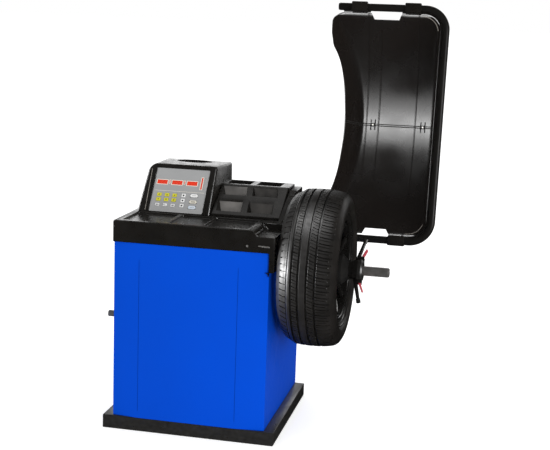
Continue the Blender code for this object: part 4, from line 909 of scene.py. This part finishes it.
def make_console_trim():
    """Borders of the displays, their digits, the level scale, small bars and a light bead left of the panel, painted
    as a highlight.
    """
    borders, segments, ticks = bmesh.new(), bmesh.new(), bmesh.new()
    band, rise = 0.0022, 0.0028
    display = (0.044, 0.019)
    for node, (wide, tall) in (("display_left", display), ("display_middle", display), ("display_right", display),
                               ("level_bar", (0.0065, 0.054))):
        for bar in frame_of(wide + 2 * band, tall + 2 * band, band):
            add_prism(borders, bar, -0.0001, 0.0004, face_frame(node, rise))
        if node != "level_bar":
            for digit in (-1, 0, 1):
                for du, dv, w, h in DIGIT:
                    add_prism(segments, rect(digit * 0.0135 + du + dv * 0.12, dv, w, h), 0.0, 0.0002,
                              face_frame(node, 0.0025))
    level = face_frame("level_bar", rise)
    for step in range(7):
        long = step % 3 == 0
        add_prism(ticks, rect(0.0105 + (0.0015 if long else 0.0), -0.024 + 0.008 * step, 0.007 if long else 0.004,
                              0.0009), -0.0002, 0.0003, level)
    # two small bars between the displays, the line above the keys, and the light bead, a painted highlight on the
    # bezel's edge
    middle = face_frame("display_middle", rise)
    bars = bmesh.new()
    for u in (-0.0318, 0.0307):
        add_prism(bars, rect(u, 0.0025, 0.0034, 0.015), -0.0001, 0.0003, middle)
        add_prism(borders, rect(u, 0.0025, 0.0066, 0.0182), -0.0002, 0.0002, middle)
    add_prism(borders, rect(0.016, -0.0398, 0.214, 0.0011), -0.0002, 0.0003, middle)
    # a thin light bead left of the panel: painted highlight on the bezel's edge
    bead = bmesh.new()
    face = face_frame("console_panel", 0.0032)
    add_tube(bead, [face @ Vector((u, v, 0.0)) for u, v in ((-0.1345, 0.092), (-0.1325, 0.03), (-0.128, -0.098))],
             0.0011, 10)
    make("bezel_highlight", bead, "black_plastic", "machine", paint=PAINTED_HIGHLIGHT)
    make("display_borders", borders, "white_key", "machine", paint=CREAM)
    make("display_segments", segments, "red_display", "machine", paint=SEGMENT)
    make("display_bars", bars, "red_display", "machine")
    make("level_ticks", ticks, "grey_panel", "machine", paint=TICK)


def print_on(node, outlines):
    """Printed symbols on a key, which travel with it."""
    shape = bmesh.new()
    place = face_frame(node, KEY_CROWN)
    for outline in outlines:
        add_prism(shape, outline, -0.0001, 0.00018, place)
    make(node + "_print", shape, "black_plastic", BODY_OF[node], paint=INK)


def make_key_prints():
    up = [(-0.003, -0.001), (0.003, -0.001), (0.0, 0.0032)]
    down = [(x, -y) for x, y in up[::-1]]
    right = [(-0.0062, -0.0014), (0.0005, -0.0014), (0.0005, -0.0036), (0.0062, 0.0), (0.0005, 0.0036),
             (0.0005, 0.0014), (-0.0062, 0.0014)]
    left = [(-x, y) for x, y in right[::-1]]
    base = rect(0, -0.0034, 0.0076, 0.0011)
    roof = rect(0, 0.0034, 0.0076, 0.0011)
    for kind in ("distance", "width", "diameter"):
        print_on(kind + "_up_key", [up, base])
        print_on(kind + "_down_key", [down, roof])
    print_on("left_arrow_key", [left])
    print_on("right_arrow_key", [right])
    print_on("mode_arrow_key", [right[:1] + right[3:4] + right[-1:], rect(0.0, -0.0045, 0.01, 0.0008)])
    for number in (1, 2, 3):
        print_on(f"menu_key_{number}", [rect(0, 0, 0.0066, 0.0066, 0.0008, 2)])
    print_on("start_key", [rect(0, 0, 0.015, 0.0014)])
    print_on("stop_key", frame_of(0.016, 0.005, 0.001))
    print_on("fine_key", [rect(x, 0, 0.0028, 0.0022) for x in (-0.006, 0.0, 0.006)])


make_console_housing()
make_console_trim()
make_key_prints()


# ---- weight tray
RACK_FOOT, RACK_HEAD, RACK_BACK = (-0.085, 0.866), (0.08, 0.967), 0.205
BINS_X = ((0.026, 0.131), (0.154, 0.259))
BINS_Y = ((-0.066, 0.001), (0.022, 0.072))
BIN_DEPTH, FLAT_FLOOR = 0.042, 0.937


def rack_height(y):
    """Height of the rack's slope."""
    (foot_y, foot_z), (head_y, head_z) = RACK_FOOT, RACK_HEAD
    return foot_z + (head_z - foot_z) * (y - foot_y) / (head_y - foot_y)


def bin_floor(y, under):
    """Height of the floor of a bin whose front edge is at y."""
    return max(rack_height(y) - BIN_DEPTH, under + 0.004)


def quad(left, right, low, high, z):
    return [(left, low, z), (right, low, z), (right, high, z), (left, high, z)]


def bin_cutter(x_range, y_range, under):
    """A scoop: its left wall leans in, its floor is short and its back is a ramp; the mouth leans left."""
    (left, right), (low, high) = x_range, y_range
    deep = bin_floor(low, under)
    floor = [(left + 0.024, low + 0.006), (right + 0.002, low + 0.006), (right - 0.003, low + 0.018),
             (left + 0.022, low + 0.018)]
    mouth = [(left + 0.005, low), (right + 0.006, low), (right - 0.003, high), (left - 0.002, high)]
    rim = 0.0007
    shape = bmesh.new()
    add_loft(shape, [[(x, y, deep) for x, y in floor], [(x, y, rack_height(y) + rim) for x, y in mouth],
                     [(x, y, rack_height(y) + 0.03) for x, y in mouth]])
    bmesh.ops.triangulate(shape, faces=shape.faces[:])
    return shape


def make_weight_tray():
    """The sloped rack with two by two bins and two flat bins on top; sheets on the bins' back ramps carry a painted
    highlight, lighter in the left column, with a darker painted-shade copy in the right.
    """
    low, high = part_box("weight_tray")
    (foot_y, foot_z), (head_y, head_z) = RACK_FOOT, RACK_HEAD
    side = [(foot_y, low.z), (foot_y, foot_z), (head_y, head_z), (RACK_BACK, head_z), (high.y, low.z)]
    shape = bmesh.new()
    add_prism(shape, side, low.x, high.x, ACROSS)
    upper = [e for e in shape.edges if max(v.co.z for v in e.verts) > low.z + 0.001]
    bevel_edges(shape, upper, 0.004, 4)
    tray = make("weight_rack", shape, "black_plastic", "machine", ("weight_tray",))
    side_cut = bmesh.new()
    add_prism(side_cut, [(-0.1, -0.2), (0.0105, -0.2), (0.025, 0.25), (-0.1, 0.25)], low.z - 0.01, high.z + 0.01)
    carve(tray, side_cut, "console_side")
    for column, x_range in enumerate(BINS_X):
        for row, y_range in enumerate(BINS_Y):
            carve(tray, bin_cutter(x_range, y_range, low.z), f"bin_{column}{row}")
        left, right = x_range
        flat = bmesh.new()
        add_loft(flat, [quad(left + 0.01, right - 0.002, 0.1, 0.19, FLAT_FLOOR),
                        quad(left + 0.001, right + 0.001, 0.092, 0.196, head_z + 0.005)])
        carve(tray, flat, f"flat_bin_{column}")
    # thin sheets on the bins' back ramps: a painted highlight, darker in the right column as painted shade
    for column, (left, right) in enumerate(BINS_X):
        sheen_sheets = bmesh.new()
        for low_y, high_y in BINS_Y:
            deep = bin_floor(low_y, low.z)
            back = [(left + 0.023, low_y + 0.0178, deep + 0.0002), (right - 0.0032, low_y + 0.0178, deep + 0.0002),
                    (right - 0.0034, high_y - 0.002, rack_height(high_y) - 0.0035),
                    (left + 0.001, high_y - 0.002, rack_height(high_y) - 0.0035)]
            add_loft(sheen_sheets, [back, [(x, y - 0.0008, z + 0.0006) for x, y, z in back]])
        make(f"bin_ramp_sheen_{column + 1}", sheen_sheets, "black_plastic", "machine", paint=(BIN_RAMP_HIGHLIGHT, BIN_RAMP_SHADE)[column])
    round_edges(tray, 0.0011, 2, 40.0, clamp=True)
    even = tray.modifiers.new("even_normals", "WEIGHTED_NORMAL")
    even.keep_sharp = True


make_weight_tray()


# ---- trim on the cover and the cabinet
CREASES_X = (-0.206, 0.194)


def make_cover_trim():
    """A screw and a latch on the cover's front, a dark round in the panel's corner, and darker blue strips that paint
    the shade along the panel's crease lines.
    """
    cover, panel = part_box("top_cover")[0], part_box("cabinet_shell")[0]
    front, skirt = cover.y, cover.z
    screws = bmesh.new()
    add_screw(screws, Vector((0.2265, front, 0.7961)), Vector((0.0, -1.0, 0.0)), 0.0046, 0.0018)
    make("cover_screw", screws, "black_plastic", "machine", paint=ZINC)
    latch = bmesh.new()
    tilt = Matrix.Translation((0.293, front, 0.7982)) @ Matrix.Rotation(math.radians(2.0), 4, "Y")
    add_prism(latch, rect(0.0, 0.0, 0.046, 0.005, 0.0024), 0.0, 0.0022, tilt @ Matrix.Rotation(math.pi / 2, 4, "X"))
    corner_x, round_r = 0.3135, 0.015
    corner = bmesh.new()
    outline = [(corner_x, -skirt)] + arc((corner_x - round_r, round_r - skirt), round_r, -90, 0, 8)
    add_prism(corner, outline, -0.3095, -0.3222, Matrix.Rotation(-math.pi / 2, 4, "X"))
    make("front_corner_round", corner, "black_plastic", "machine")
    # darker blue strips: painted shade along the front panel's crease lines
    crease_shade_strips = bmesh.new()
    for x in CREASES_X:
        add_box(crease_shade_strips, (x - 0.0007, panel.y - 0.0003, panel.z + 0.03), (x + 0.0007, panel.y + 0.001, skirt + 0.01))
    make("crease_shade_lines", crease_shade_strips, "blue_paint", "machine", paint=CREASE_SHADE_PAINT)
    make("cover_latch", latch, "black_plastic", "machine", bevel=0.0008, paint=ZINC)


make_cover_trim()
make_region_lights()
